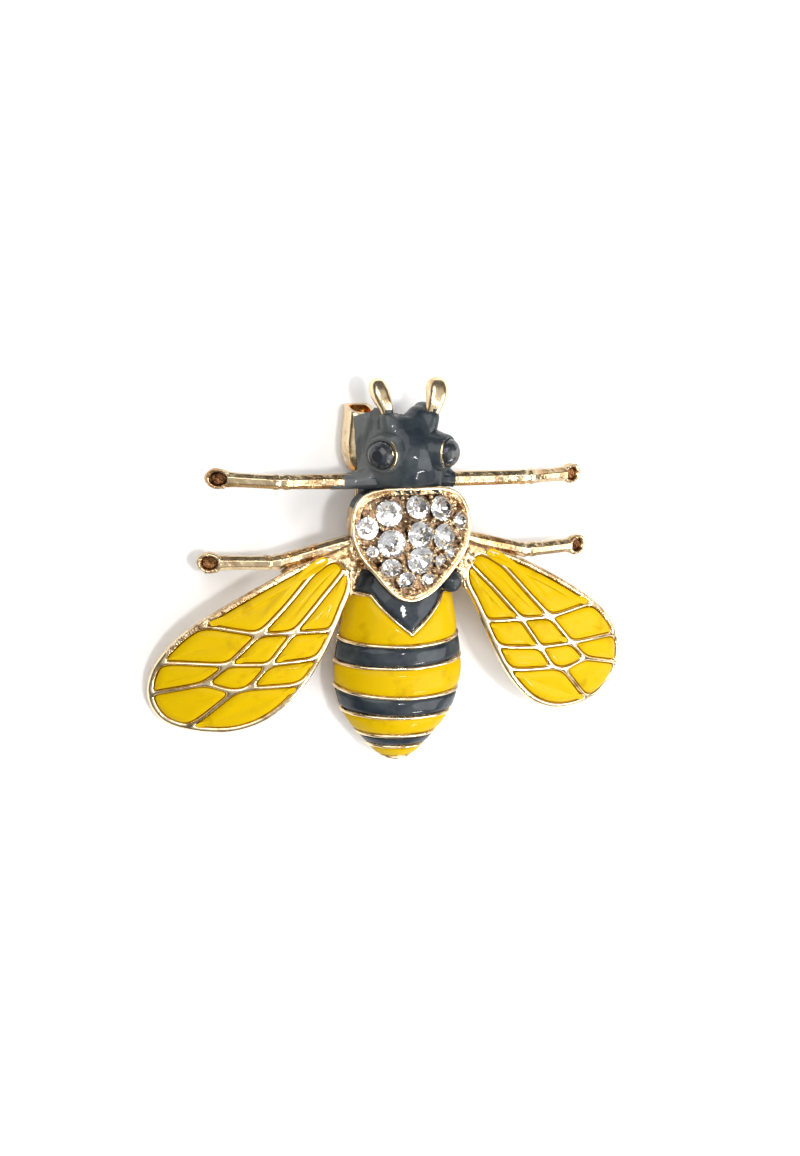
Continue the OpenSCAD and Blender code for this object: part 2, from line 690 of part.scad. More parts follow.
module antenna_collar(side) {
    hull() {
        translate([side * 0.66 * antenna_x, head_front_y - 1.74 * antenna_r, antenna_z])
            sphere(antenna_r * 1.15, $fn = 12);
        translate([side * 0.74 * antenna_x, head_front_y - 0.82 * antenna_r, antenna_z])
            sphere(antenna_r * 0.95, $fn = 12);
    }
}

module leg_collar(side, reach) {
    hull() {
        translate([side * 0.8 * head_w, shield_y + front_leg_y + 0.2, knee_z])
            sphere(collar_r, $fn = 12);
        translate([side * reach, shield_y + front_leg_y - side * 0.25 * front_leg_skew, knee_z + 0.15])
            sphere(leg_w * 0.6, $fn = 12);
    }
}

module catch_cover() {
    translate([catch_x - catch_w / 2 + cover_margin, catch_y + cover_margin, catch_h + gap])
        cube([catch_w - cover_margin / 2, catch_len - 2 * cover_margin, cover_t]);
}

module head_enamel() {
    difference() {
        union() {
            head_solid(0);
            for (side = [-1, 1]) antenna_collar(side);
            leg_collar(-1, 1.58 * head_w);
            leg_collar(1, 1.02 * head_w);
            catch_cover();
        }
        head_solid(enamel_t);
        translate([-far / 2, 0, -far]) cube([far, far, far + waist_z + gap]);
        saddle(saddle_r);
        for (side = [-1, 1]) {
            antenna(side, gap);
            front_leg(side, gap);
            at_eye(side) translate([0, 0, -2.5 * eye_r])
                cylinder(h = 5 * eye_r, r = eye_r + 2 * gap + cup_wall, $fn = 20);
        }
        neck(gap);
        translate([catch_x - catch_w / 2 - gap, catch_y - gap, 0])
            cube([catch_w + 2 * gap, catch_len + 2 * gap, catch_h + gap]);
        shield_prism(-gap);
    }
}

// Metal between the head and the body under the shield
module neck(grow = 0) {
    start = head_back_y + 1;
    top = [for (u = shares(10, -1, 1)) head_point(u, 0.1, enamel_t + 2 * gap - grow)];
    foot = top[10][0] - tuck;
    low = back_z + eps;
    translate([0, start, 0])
        rotate([90, 0, 0])
            linear_extrude(height = start - shield_y - 0.4 * shield_len)
                polygon(concat([for (p = top) [p[0], p[2]]], [[foot, low], [-foot, low]]));
}

module head_core() {
    difference() {
        union() {
            head_solid(enamel_t + gap);
            skirt([for (t = shares(7, 1, 0)) head_point(1, t, 0)],
                [for (t = shares(7, 1, 0)) head_point(-1, t, 0)]);
        }
        saddle(saddle_r + gap);
    }
}

// Catch for the pin: a short channel along Y, open at both ends
module catch_outer() {
    translate([catch_x, catch_y + catch_len, catch_h / 2])
        rotate([90, 0, 0])
            linear_extrude(height = catch_len)
                polygon(rounded([
                    [-catch_w / 2, -catch_h / 2], [-catch_w / 2, catch_h / 2],
                    [catch_w / 2, catch_h / 2], [catch_w / 2, -catch_h / 2]], catch_corner));
}

module catch_channel() {
    translate([catch_x, head_front_y + through, catch_h / 2])
        rotate([90, 0, 0])
            linear_extrude(height = catch_len + 3 * through)
                polygon(rounded([
                    [-catch_w / 2 + catch_wall, -catch_h / 2 + channel_lift],
                    [-catch_w / 2 + catch_wall, catch_h / 2 - catch_wall],
                    [catch_w / 2 - catch_wall, catch_h / 2 - catch_wall],
                    [catch_w / 2 - catch_wall, -catch_h / 2 + channel_lift]], channel_corner));
}

module casting() {
    color(metal)
        difference() {
            union() {
                for (side = [-1, 1]) {
                    on_side(side) wing_frame();
                    wing_root(side);
                    front_leg(side);
                    second_leg(side);
                    leg_web(side);
                    antenna(side);
                    eye_cup(side);
                }
                abdomen_core();
                shield();
                head_core();
                neck();
                catch_outer();
            }
            catch_channel();
            translate([-far / 2, -far / 2, -far]) cube(far);
        }
}

module back_pin() {
    color(metal) {
        translate([catch_x - hinge_w / 2, hinge_y - hinge_len / 2, 0])
            cube([hinge_w, hinge_len, back_z - gap / 2]);
        translate([catch_x, hinge_y, pin_z])
            rotate([-90, 0, 0]) cylinder(h = head_front_y - hinge_y - pin_stop, r = pin_r, $fn = 32);
    }
}

casting();
color(dark) head_enamel();
color(dark) eye(-1);  // eye_left
color(dark) eye(1);  // eye_right
back_pin();
for (k = [0 : len(BANDS) - 1])
    color(k % 2 == 0 ? dark : yellow) abdomen_field(k);
for (i = [1 : len(STONES)])
    color("White") stone(i - 1);
for (s = SIDES)
    for (i = [1 : len(CELLS)])
        color(yellow) wing_enamel(s == "left" ? -1 : 1, i - 1);
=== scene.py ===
"""Dressed model of the bee brooch: gold casting, enamel fields, set stones, stage."""
from math import cos, exp, hypot, pi, radians, sin, sqrt

import bmesh
import bpy
from bmesh.types import BMFace, BMVert
from bpy.props import FloatProperty, FloatVectorProperty, IntProperty, PointerProperty
from mathutils import Matrix, Vector, noise


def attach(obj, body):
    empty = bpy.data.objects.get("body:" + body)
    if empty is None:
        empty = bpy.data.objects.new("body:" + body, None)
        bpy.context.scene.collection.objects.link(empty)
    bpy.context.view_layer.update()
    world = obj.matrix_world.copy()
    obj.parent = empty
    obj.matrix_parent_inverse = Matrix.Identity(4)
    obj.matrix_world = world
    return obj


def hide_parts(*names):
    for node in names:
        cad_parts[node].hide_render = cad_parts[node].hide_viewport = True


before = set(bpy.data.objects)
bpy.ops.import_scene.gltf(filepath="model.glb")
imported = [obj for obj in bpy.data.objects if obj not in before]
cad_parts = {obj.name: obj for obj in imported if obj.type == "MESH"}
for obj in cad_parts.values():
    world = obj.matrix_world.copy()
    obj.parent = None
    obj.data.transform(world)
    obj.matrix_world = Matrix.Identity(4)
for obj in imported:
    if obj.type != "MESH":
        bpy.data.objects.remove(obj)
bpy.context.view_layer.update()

bl_info = {
    "name": "Bee Brooch",
    "version": (1, 0, 0),
    "blender": (4, 5, 0),
    "location": "3D View > Sidebar > Bee Brooch",
    "description": "Dresses the bee brooch: gold casting, enamel, stones and stage",
    "category": "Object",
}

# Sizes of the solid model, in millimetres
WING_REACH, WING_SWEEP, WING_ROOT_X, WING_FRONT_Y = 17.5, 15.95, 5.0, 2.15
WING_DOME_R, WING_T, CELL_DEPTH, VEIN_W, RIM_W = 25.0, 0.9, 0.5, 0.42, 0.41
ABDOMEN_LEN, ABDOMEN_W, ABDOMEN_H, ABDOMEN_FRONT_Y = 18.0, 5.9, 4.1, 0.8
SHIELD_Y, SHIELD_W, SHIELD_LEN, SHIELD_Z, SHIELD_DOME_R = 2.8, 5.35, 4.9, 7.2, 9.5
HEAD_LEN, HEAD_H, HEAD_BACK_Y = 7.1, 4.8, 7.4
HEAD_FRONT_Y = HEAD_BACK_Y + HEAD_LEN
CATCH_Y = HEAD_FRONT_Y - 5.65
EYE_R, EYE_X, EYE_Z, EYE_TILT = 1.2, 3.0, 6.3, 44.0
ANTENNA_X, ANTENNA_R = 2.7, 0.92
FRONT_LEG_REACH, FRONT_LEG_Y, FRONT_LEG_SKEW = 17.4, 5.45, 0.4
LEG_Y = SHIELD_Y + FRONT_LEG_Y
SECOND_LEG_REACH, SECOND_LEG_BACK, LEG_W, KNEE_Z, FOOT_Z = 18.2, 1.45, 1.3, 4.2, 2.1
WAIST_Z, ENAMEL_T, GAP, STONE_RISE = 2.5, 0.45, 0.04, 0.15
CATCH_X, CATCH_W, CATCH_H, CATCH_LEN, CATCH_WALL = -3.15, 2.4, 2.7, 5.6, 0.5
KNOB = Vector((4.15, SHIELD_Y - 3.7, SHIELD_Z - 2.4))
SHIELD_CENTRE = Vector((0, SHIELD_Y, SHIELD_Z - SHIELD_DOME_R))
# The wings: length from which an edge is halved, width of the slope into a cell, height of a
# fill's edge, width from which a fill has its full steps
SIDE_LIMITS, CELL_SLOPE, FILL_EDGE_Z, WIDE_CELL = (3.2, 1.6), 0.03, -0.07, 2.6
FILL_STEPS = ((0.07, 1.6), (0.16, 1.5), (0.22, 1.0), (0.24, 0.4))  # width, rise in swells
# The abdomen: steps across, room for its gold lines, fall of the enamel's edge, swell
BAND_STEPS, LINE_ROOM, BAND_FALL, BAND_SWELL = 40, 0.15, 0.12, 0.07
# The shield: its rim's share of the outline and rise, grains round a stone and their size
RIM_SHARE, RIM_RISE, CLAWS, CLAW_SIZE = 0.968, 0.32, 5, 0.72
# The feet: size, tilt in degrees, beads on the lip, radius of the pit
FOOT_SIZE, FOOT_TILT, FOOT_BEADS, PIT_R = (1.22, 0.93, 0.9), 28, 7, 0.62
MELT_GRAIN = 0.13  # how finely the enamel of the head is melted together
# How far out the slate runs: on the head, on each front leg
SLATE_LEFT_X, SLATE_RIGHT_X, SLATE_REACH = -4.6, 4.3, {-1: 5.9, 1: 4.3}
# Where the core of the casting ends and other pieces begin, in millimetres
CORE_W, BELLY_W, BELLY_Y, SHOULDER_Y = 5.36, 5.95, -2.6, 6
CORE_FRONT_Y, CATCH_CUT_X, CATCH_TOP = HEAD_FRONT_Y + 0.02, -3.95, CATCH_H + 0.02
CHIN = (0, HEAD_FRONT_Y - 2.3, 1.2), (0, 1.32, -1.1)  # slant under the head: place, way out
PER_METRE = 1000  # millimetres in a metre
SIDES = ((-1, "left"), (1, "right"))

# Wing chart: share of the reach outwards, share of the sweep backwards. The first RIM_COUNT
# rows run along the outer edge; the other rows are the points where veins bend or meet.
RIM_COUNT = 23
WING = [
    (0.075, 0), (0.25, 0.038), (0.325, 0.07), (0.49, 0.16), (0.655, 0.265), (0.79, 0.365),
    (0.89, 0.465), (0.965, 0.585), (0.995, 0.68), (1, 0.78), (0.97, 0.875), (0.905, 0.95),
    (0.81, 0.985), (0.7, 1), (0.59, 0.995), (0.49, 0.96), (0.41, 0.91), (0.325, 0.825),
    (0.24, 0.71), (0.165, 0.565), (0.1, 0.415), (0.05, 0.29), (0, 0.16),
    (0.22, 0.105), (0.365, 0.28), (0.49, 0.42), (0.025, 0.07), (0.16, 0.22), (0.32, 0.415),
    (0.635, 0.59), (0.44, 0.59), (0.74, 0.7), (0.6, 0.745), (0.53, 0.725),
]
CELLS = [
    (0, 1, 2, 3, 4, 5, 25, 24, 23), (0, 23, 24, 25, 28, 27, 26), (26, 27, 28, 20, 21, 22),
    (5, 6, 7, 29, 25), (25, 29, 30, 28), (28, 30, 19, 20), (7, 8, 9, 31, 29),
    (29, 31, 32, 33, 30), (30, 33, 18, 19), (9, 10, 11, 12, 32, 31),
    (12, 13, 14, 15, 16, 17, 18, 33, 32),
]
# Half outline of the shield: share of its half width, share of its half length
SHIELD = [
    (0, 1), (0.45, 0.99), (0.8, 0.87), (0.96, 0.6), (1, 0.25), (0.93, -0.05),
    (0.8, -0.28), (0.64, -0.48), (0.47, -0.7), (0.25, -0.92), (0, -1),
]
# Stones and loose grains: shares of the shield's half width and half length; a stone's radius
STONES = [
    (-0.43, 0.6, 1.1), (0.05, 0.69, 1), (0.47, 0.64, 1.05), (-0.775, 0.33, 0.92),
    (0.81, 0.38, 0.72), (-0.41, 0.07, 1.15), (0.065, 0.215, 1.1), (0.49, 0.155, 1.05),
    (0.075, -0.235, 1.15), (-0.4, -0.375, 0.85), (-0.13, -0.6, 0.78), (0.42, -0.27, 0.5),
    (0.6, -0.14, 0.5), (-0.7, -0.08, 0.5), (0.235, -0.6, 0.6),
]
GRAINS = [
    (-0.55, 0.335), (-0.2, 0.46), (-0.14, 0.37), (0.27, 0.44), (-0.16, -0.1), (0.31, -0.05),
    (-0.575, -0.2), (-0.19, -0.375), (0.07, -0.55), (0.295, -0.42), (0.615, 0.375),
    (-0.05, -0.8), (0.11, -0.8), (-0.62, 0.62), (-0.2, 0.83), (0.27, 0.83), (0.68, 0.6),
    (-0.9, 0.12), (-0.82, 0.02), (0.75, 0.1), (0.8, -0.02), (-0.6, -0.42), (0.45, -0.55),
]
# Sections along the abdomen: share of length, share of half width, share of height
ABDOMEN = [
    (0, 0.61, 0.66), (0.144, 0.805, 0.86), (0.256, 0.88, 0.94), (0.367, 0.94, 0.98),
    (0.561, 1, 1), (0.728, 0.88, 0.93), (0.811, 0.72, 0.82), (0.867, 0.575, 0.7),
    (0.922, 0.43, 0.55), (0.972, 0.27, 0.36), (1, 0.12, 0.2),
]
# Edges between the abdomen fields: on the middle line, at the left side, at the right side
EDGES = [
    (0.165, 0.02, 0.02), (0.33, 0.14, 0.14), (0.389, 0.367, 0.358), (0.497, 0.483, 0.47),
    (0.648, 0.605, 0.64), (0.75, 0.728, 0.758), (0.85, 0.85, 0.858), (0.915, 0.912, 0.92),
    (0.985, 0.985, 0.985),
]
BANDS = ["abdomen_collar", "abdomen_yellow_1", "abdomen_dark_1", "abdomen_yellow_2",
         "abdomen_dark_2", "abdomen_yellow_3", "abdomen_dark_3", "abdomen_tip"]
# Leg sections: share of the reach, share of the way down from knee to foot, share of width
LEG = [
    (0.14, -0.12, 1.05), (0.38, -0.09, 1.08), (0.605, -0.06, 1.02), (0.618, -0.05, 1.12),
    (0.637, -0.03, 1.12), (0.648, 0, 0.97), (0.662, 0.03, 0.97), (0.672, 0.04, 1.1),
    (0.688, 0.06, 1.1), (0.7, 0.1, 1), (0.78, 0.36, 1), (0.86, 0.62, 1.02),
    (0.91, 0.82, 1.16),
]
# Shares of a leg's reach: from its root to its knee, and out to the middle of its foot
KNEE_SHARE, FOOT_SHARE = 0.49, 0.938
# Outline of the cup of a foot: distance from its middle, height
FOOT_CUP = [
    (0, -0.72), (0.5, -0.7), (0.86, -0.42), (1, 0), (0.98, 0.34), (0.86, 0.5),
    (0.68, 0.46), (0.58, 0.28), (0.5, 0.02), (0, -0.06),
]
# Rough metal between a second leg and its wing, on the right side: place and radius
WEB = [
    ((4.6, 2.7, 4.4), 0.9), ((6, 1.95, 4.5), 0.75), ((7.6, 1.5, 4.3), 0.62),
    ((9, 1.05, 4.1), 0.6), ((10.3, 0.65, 3.8), 0.5), ((11.2, 0.45, 3.5), 0.2),
]
# Lumps of metal at the root of the right wing: place, size, roughness, seed
ROOT_LUMPS = [
    ((4.5, 2.3, 4.4), (1.35, 1.5, 1.2), 0.25, 3.1),
    ((5.5, 1.1, 4.6), (1, 1.2, 0.85), 0.3, 5.7),
    ((5.3, -0.5, 4.5), (0.75, 1.1, 0.75), 0.3, 9.2),
]
# Lumps of enamel that round off the front of the head: place from that front, size
HEAD_LUMPS = [
    ((1.7, -0.35, 3.6), (0.85, 0.8, 1.3)), ((1.05, -0.6, 4.2), (1, 0.8, 1.2)),
    ((0.45, -0.95, 4.5), (0.95, 0.75, 1.15)),
]
# Stops along an antenna: share of ANTENNA_X, way ahead of the head, rise, share of ANTENNA_R
ANTENNA = [
    (0.66, -1.3, -0.15, 0.56), (0.76, -0.4, -0.1, 0.6), (0.82, 0.2, 0, 0.66),
    (0.9, 0.75, -0.2, 0.8), (0.97, 1.35, -0.48, 0.92), (1, 1.85, -0.86, 0.9),
    (1.02, 2.25, -0.95, 0.76), (1.03, 2.5, -1, 0.5), (1.03, 2.63, -1.02, 0.2),
]
# Outlines round an eye: distance from its middle, or from EYE_R for cup and socket, height
EYE_CUP = [(0.03, -0.6), (0.03, 0.08), (0.07, 0.15), (0.24, 0.15), (0.29, 0.08), (0.29, -1.5)]
EYE_SOCKET = [
    (0.2, -1.6), (0.2, 0.02), (0.27, 0.07), (0.35, -0.04), (0.42, -0.35), (0.54, -0.8),
    (0.7, -1.25), (0.75, -1.6),
]
EYE_STONE = [(0.9, -0.5), (1.2, -0.1), (1.22, 0.2), (1.12, 0.52), (0.86, 0.8), (0.5, 0.97)]
# The band of the catch: way from its back end, bulge to the left, share of its height
CATCH_BAND = [
    (0, 0, 0.7), (0.3, 0.22, 0.82), (0.8, 0.44, 0.92), (1.5, 0.6, 1), (2.4, 0.64, 1),
    (3.6, 0.54, 1), (4.7, 0.42, 1), (5.4, 0.4, 1), (5.6, 0.34, 0.96),
]
CATCH_MID_Z = CATCH_H / 2 + 0.03


def length(name, default, low, high, words):
    return FloatProperty(name=name, description=words + ", in millimetres", default=default,
                         min=low, max=high)


class BroochSizes(bpy.types.PropertyGroup):
    """Sizes that shape the finish of the brooch"""
    swell: length("Enamel swell", 0.05, 0, 0.1, "Rise of each step of a filled cell")
    vein_crown: length("Vein crown", 0.16, 0, 0.3, "Height of the middle of a vein")
    bead_radius: length("Bead radius", 0.15, 0.08, 0.25, "Radius of the abdomen's gold lines")
    rim_radius: length("Shield rim radius", 0.19, 0.12, 0.4, "Radius of the shield's rim")
    grain_radius: length("Grain radius", 0.24, 0.1, 0.3, "Radius of the grains round the stones")
    leg_edge: length("Leg edge", 0.09, 0, 0.2, "Rounding of the edges of the legs")
    stone_fill: FloatProperty(name="Stone fill", default=1.08, min=1, max=1.12,
                              description="Size of a stone against the pocket that holds it")
    smoothness: IntProperty(name="Smoothness", default=2, min=1, max=3,
                            description="Subdivision levels of the rounded pieces")


def tint(name, colour, words):
    return FloatVectorProperty(name=name, description=words, default=colour, subtype="COLOR",
                               size=3, min=0, max=1)


class BroochColours(bpy.types.PropertyGroup):
    """Colours of the brooch and of the floor under it"""
    gold: tint("Gold", (0.85, 0.67, 0.42), "Polished gold-coloured metal")
    gold_shade: tint("Gold shade", (0.4, 0.22, 0.09), "Worn and darker places of the metal")
    yellow: tint("Yellow", (0.59, 0.38, 0.0), "Yellow enamel")
    # Darker clouds in the yellow enamel, and the base of the painted shade on the sides of the
    # fills
    yellow_deep_and_edge_shade: tint("Deep yellow", (0.41, 0.24, 0.0), "Darker clouds of the yellow enamel, and its painted edge shade")
    slate: tint("Slate", (0.01, 0.016, 0.024), "Slate grey enamel")
    slate_pale: tint("Pale slate", (0.045, 0.056, 0.06), "Paler clouds in the slate enamel")
    # Painted light: the paler slate on the left of the head and on the front of the catch
    slate_painted_light: tint("Painted light slate", (0.12, 0.125, 0.12), "Slate painted paler on the left, as painted light")
    eye: tint("Eye", (0.017, 0.02, 0.025), "Black stone of the eyes")
    amber: tint("Amber", (0.95, 0.45, 0.12), "Orange tinge inside the catch")
    floor: tint("Floor", (0.93, 0.93, 0.93), "Floor under the brooch")


def sizes():
    return bpy.context.scene.brooch_sizes


def colours():
    return bpy.context.scene.brooch_colours


# ---- materials

# Features of the noise per millimetre
WEAR_GRAIN, POLISH_GRAIN, CLOUD_GRAIN, WAVE_GRAIN = 0.55, 1.7, 0.45, 0.8
# Where the slate is painted paler, as painted light on its left: axis, start and end in
# millimetres, share of the paler colour
PAINTED_LIGHT_PLACES = (("X", -1.2, -3.6, 0.9), ("Y", 7, 9, 1))


def set_sockets(node, values):
    for socket, value in values.items():
        slot = node.inputs[socket.replace("_", " ")]
        slot.default_value = (*value, 1) if hasattr(value, "__len__") else value


def new_material(name, **values):
    """A material with one shader, its sockets set by name."""
    material = bpy.data.materials.new(name)
    material.use_nodes = True
    shader = material.node_tree.nodes["Principled BSDF"]
    set_sockets(shader, values)
    return material, shader


def add_node(tree, kind, **values):
    """A new node, its sockets set by name."""
    node = tree.nodes.new("ShaderNode" + kind)
    set_sockets(node, values)
    return node


def clouds(tree, grain, detail=4.0, rough=0.6):
    """Noise of the given grain in features per millimetre, read in object coordinates."""
    coords = add_node(tree, "TexCoord")
    texture = add_node(tree, "TexNoise", Scale=grain * PER_METRE, Detail=detail, Roughness=rough)
    tree.links.new(coords.outputs["Object"], texture.inputs["Vector"])
    return texture.outputs["Fac"]


def ramp(tree, source, stops):
    """Colours along a value. Each stop is a place from 0 to 1 and a colour."""
    node = add_node(tree, "ValToRGB")
    bar = node.color_ramp
    while len(bar.elements) < len(stops):
        bar.elements.new(0.5)
    for element, (place, colour) in zip(bar.elements, stops):
        element.position = place
        element.color = (*colour, 1)
    tree.links.new(source, node.inputs["Fac"])
    return node.outputs["Color"]


def bumps(tree, shader, source, depth):
    """Relief of the given depth in millimetres."""
    node = add_node(tree, "Bump", Distance=depth / PER_METRE, Strength=1.0)
    tree.links.new(source, node.inputs["Height"])
    tree.links.new(node.outputs["Normal"], shader.inputs["Normal"])
    return node.outputs["Normal"]


def ranged(tree, source, low, high, start=0.3, end=0.7):
    """Turns a value that runs from start to end into one that runs from low to high."""
    node = add_node(tree, "MapRange", From_Min=start, From_Max=end, To_Min=low, To_Max=high)
    tree.links.new(source, node.inputs["Value"])
    return node.outputs["Result"]


def metal(name, colour, shade, worn_from, worn_to, rough, grain, depth):
    """Plated metal: worn brown patches, uneven polish and small casting marks."""
    material, shader = new_material(name, Metallic=1.0)
    tree = material.node_tree
    wear = clouds(tree, WEAR_GRAIN, 5, 0.65)
    tree.links.new(ramp(tree, wear, [(worn_from, shade), (worn_to, colour)]),
                   shader.inputs["Base Color"])
    tree.links.new(ranged(tree, clouds(tree, POLISH_GRAIN), *rough), shader.inputs["Roughness"])
    bumps(tree, shader, clouds(tree, grain, 3, 0.5), depth)
    return material


def enamel(name, low, high, places, depth, coat_rough, gloss):
    """Hard enamel: a clouded colour under a thick clear gloss with slight waves."""
    material, shader = new_material(name, Roughness=0.45, Coat_Weight=gloss,
                                    Specular_IOR_Level=0.5 * gloss,
                                    Coat_Roughness=coat_rough, Coat_IOR=1.55)
    tree = material.node_tree
    mottled = ramp(tree, clouds(tree, CLOUD_GRAIN, 3), [(places[0], low), (places[1], high)])
    tree.links.new(mottled, shader.inputs["Base Color"])
    waves = bumps(tree, shader, clouds(tree, WAVE_GRAIN, 2, 0.4), depth)
    tree.links.new(waves, shader.inputs["Coat Normal"])
    return material


def paint_light_on_the_left(material, colour):
    """Paints the slate paler on the left of the head and on the front of the catch, as painted
    light.
    """
    tree = material.node_tree
    shader = tree.nodes["Principled BSDF"]
    split, both, mix = (add_node(tree, kind) for kind in ("SeparateXYZ", "Math", "Mix"))
    tree.links.new(add_node(tree, "TexCoord").outputs["Object"], split.inputs["Vector"])
    both.operation = "MULTIPLY"
    for factor, (axis, start, end, most) in zip(both.inputs, PAINTED_LIGHT_PLACES):
        share = ranged(tree, split.outputs[axis], 0, most, start / PER_METRE, end / PER_METRE)
        tree.links.new(share, factor)
    mix.data_type = "RGBA"
    first, second = mix.inputs[6:8]
    second.default_value = (*colour, 1)
    tree.links.new(both.outputs["Value"], mix.inputs["Factor"])
    tree.links.new(shader.inputs["Base Color"].links[0].from_socket, first)
    tree.links.new(mix.outputs[2], shader.inputs["Base Color"])


# How bright the legs, the painted shade on the edges of the yellow enamel and the paper's clouds
# are
LEG_SHARE, EDGE_SHADE_SHARE, PAPER_SHARE = 0.79, 0.6, 0.985


def dimmed(colour, share):
    return tuple(v * share for v in colour)


def make_materials():
    c = colours()
    gold, shade = c.gold, c.gold_shade
    made = {
        "gold": metal("gold polished", gold, shade, 0.28, 0.46, (0.12, 0.26), 1.6, 0.03),
        "gold_leg": metal("gold legs", dimmed(gold, LEG_SHARE), shade, 0.32, 0.56,
                          (0.14, 0.3), 1.1, 0.12),
        "gold_rough": metal("gold rough cast", gold, shade, 0.34, 0.6, (0.16, 0.36), 2.6, 0.16),
        # Darker brown metal: painted shade on the shield's steep sides; the leg webs use it too
        "gold_brown_and_shade": metal("gold brown and painted shade", (0.6, 0.4, 0.2), (0.22, 0.11, 0.05), 0.35, 0.6,
                            (0.2, 0.4), 2.2, 0.12),
        "stone_floor": metal("stone floor", (0.42, 0.27, 0.16), (0.05, 0.03, 0.02), 0.38, 0.62,
                             (0.2, 0.45), 2.6, 0.16),
        "gold_pit": metal("gold pits", (0.34, 0.16, 0.06), (0.07, 0.03, 0.015), 0.35, 0.62,
                          (0.2, 0.4), 3, 0.2),
        # Orange metal on the inner walls of the catch
        "amber": metal("amber tinge", c.amber, shade, 0.3, 0.5, (0.15, 0.3), 1.5, 0.05),
        "yellow": enamel("yellow enamel", c.yellow_deep_and_edge_shade, c.yellow, (0.2, 0.42), 0.05, 0.06, 0.09),
        # The sides of each yellow fill: painted shade along the veins
        "yellow_edge_shade": enamel("yellow enamel painted edge shade", dimmed(c.yellow_deep_and_edge_shade, EDGE_SHADE_SHARE),
                              c.yellow_deep_and_edge_shade, (0.3, 0.7), 0.05, 0.1, 0.09),
        "slate": enamel("slate enamel", c.slate, c.slate_pale, (0.4, 0.78), 0.045, 0.05, 0.34),
        "eye": new_material("black stone", Base_Color=c.eye, Roughness=0.25, Coat_Weight=0.3,
                            Coat_Roughness=0.05)[0],
        "crystal": new_material("clear stone", Base_Color=(0.97, 0.97, 0.98), Roughness=0.0,
                                IOR=1.55, Transmission_Weight=1.0)[0],
    }
    # Painted light: the slate is paler on the left of the head and on the front of the catch
    paint_light_on_the_left(made["slate"], c.slate_painted_light)
    made["foil"], shader = new_material("stone foil", Metallic=1.0, Roughness=0.08)
    tree = made["foil"].node_tree
    silver = [(0.3, (0.62, 0.58, 0.56)), (0.5, (0.97, 0.97, 0.97))]
    tree.links.new(ramp(tree, clouds(tree, 1.4, 2), silver), shader.inputs["Base Color"])
    return made


COATS = {}


def coat(name):
    if not COATS:
        COATS.update(make_materials())
    return COATS[name]


# ---- making pieces

EDGE_ANGLE = 25  # degrees from which an edge is rounded


def add_object(name, data):
    """A new object in the scene, unturned and at the origin."""
    made = bpy.data.objects.new(name, data)
    bpy.context.scene.collection.objects.link(made)
    return made


def mesh_object(bm, name):
    mesh = bpy.data.meshes.new(name)
    bm.to_mesh(mesh)
    bm.free()
    return add_object(name, mesh)


def finish(bm, name, coats, nodes=("casting",), sharp=0, edge=0, rounded=False):
    """Puts a shape drawn in millimetres into the scene, in the place of its solids."""
    bmesh.ops.scale(bm, vec=(1 / PER_METRE,) * 3, verts=bm.verts)
    piece = mesh_object(bm, name)
    mesh = piece.data
    for polygon in mesh.polygons:
        polygon.use_smooth = True
    if sharp:
        mesh.set_sharp_from_angle(angle=radians(sharp))
    for one in coats:
        mesh.materials.append(coat(one))
    if edge:
        bevel = piece.modifiers.new("Rounded edges", "BEVEL")
        bevel.width, bevel.segments, bevel.limit_method = edge / PER_METRE, 2, "ANGLE"
        bevel.angle_limit = radians(EDGE_ANGLE)
        bevel.harden_normals = True
    if rounded:
        smooth = piece.modifiers.new("Smooth shape", "SUBSURF")
        smooth.levels = smooth.render_levels = sizes().smoothness
    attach(piece, "root")
    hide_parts(*nodes)
    return piece


def only(made, kind):
    """The corners or the faces among what an operator made."""
    return [part for part in made["geom"] if isinstance(part, kind)]


def corners(faces):
    return {v for f in faces for v in f.verts}


def follow(loop, made):
    """The new corners of an extruded loop, in the order of the old ones."""
    fresh = set(only(made, BMVert))
    return [next(e.other_vert(v) for e in v.link_edges if e.other_vert(v) in fresh) for v in loop]


def loop_edges(loop):
    return [next(e for e in a.link_edges if e.other_vert(a) == b)
            for a, b in zip(loop, loop[1:] + loop[:1])]


def face_outwards(bm):
    bmesh.ops.recalc_face_normals(bm, faces=bm.faces)


def skin(bm, rings, closed=False):
    """Extrudes a circle from ring to ring of points, then closes it or caps its ends."""
    start = bmesh.ops.create_circle(bm, segments=len(rings[0]), radius=1)["verts"]
    for v, p in zip(start, rings[0]):
        v.co = p
    first, loop = loop_edges(start), start
    for ring in rings[1:]:
        loop = follow(loop, bmesh.ops.extrude_edge_only(bm, edges=loop_edges(loop)))
        for v, p in zip(loop, ring):
            v.co = p
    last = loop_edges(loop)
    if closed:
        bmesh.ops.bridge_loops(bm, edges=first + last)
    else:
        bmesh.ops.contextual_create(bm, geom=first)
        bmesh.ops.contextual_create(bm, geom=last)
    face_outwards(bm)


def cut(bm, spot, way, drop=False):
    """Cuts new edges along a plane. With drop, what lies beyond it goes."""
    bmesh.ops.bisect_plane(bm, geom=bm.verts[:] + bm.edges[:] + bm.faces[:], dist=1e-4,
                           plane_co=spot, plane_no=way, clear_outer=drop)


def fill_holes(bm):
    bmesh.ops.holes_fill(bm, edges=[e for e in bm.edges if e.is_boundary], sides=0)


def put(bm, verts, size, turn, place):
    """Scales, turns and then moves some corners."""
    bmesh.ops.scale(bm, vec=size, verts=verts)
    bmesh.ops.rotate(bm, cent=(0, 0, 0), matrix=turn, verts=verts)
    bmesh.ops.translate(bm, vec=place, verts=verts)


def circle(radius, z, count, shift=0.0):
    """Corners of a level circle, moved on by a share of a step."""
    angles = [2 * pi * (k + shift) / count for k in range(count)]
    return [Vector((radius * cos(a), radius * sin(a), z)) for a in angles]


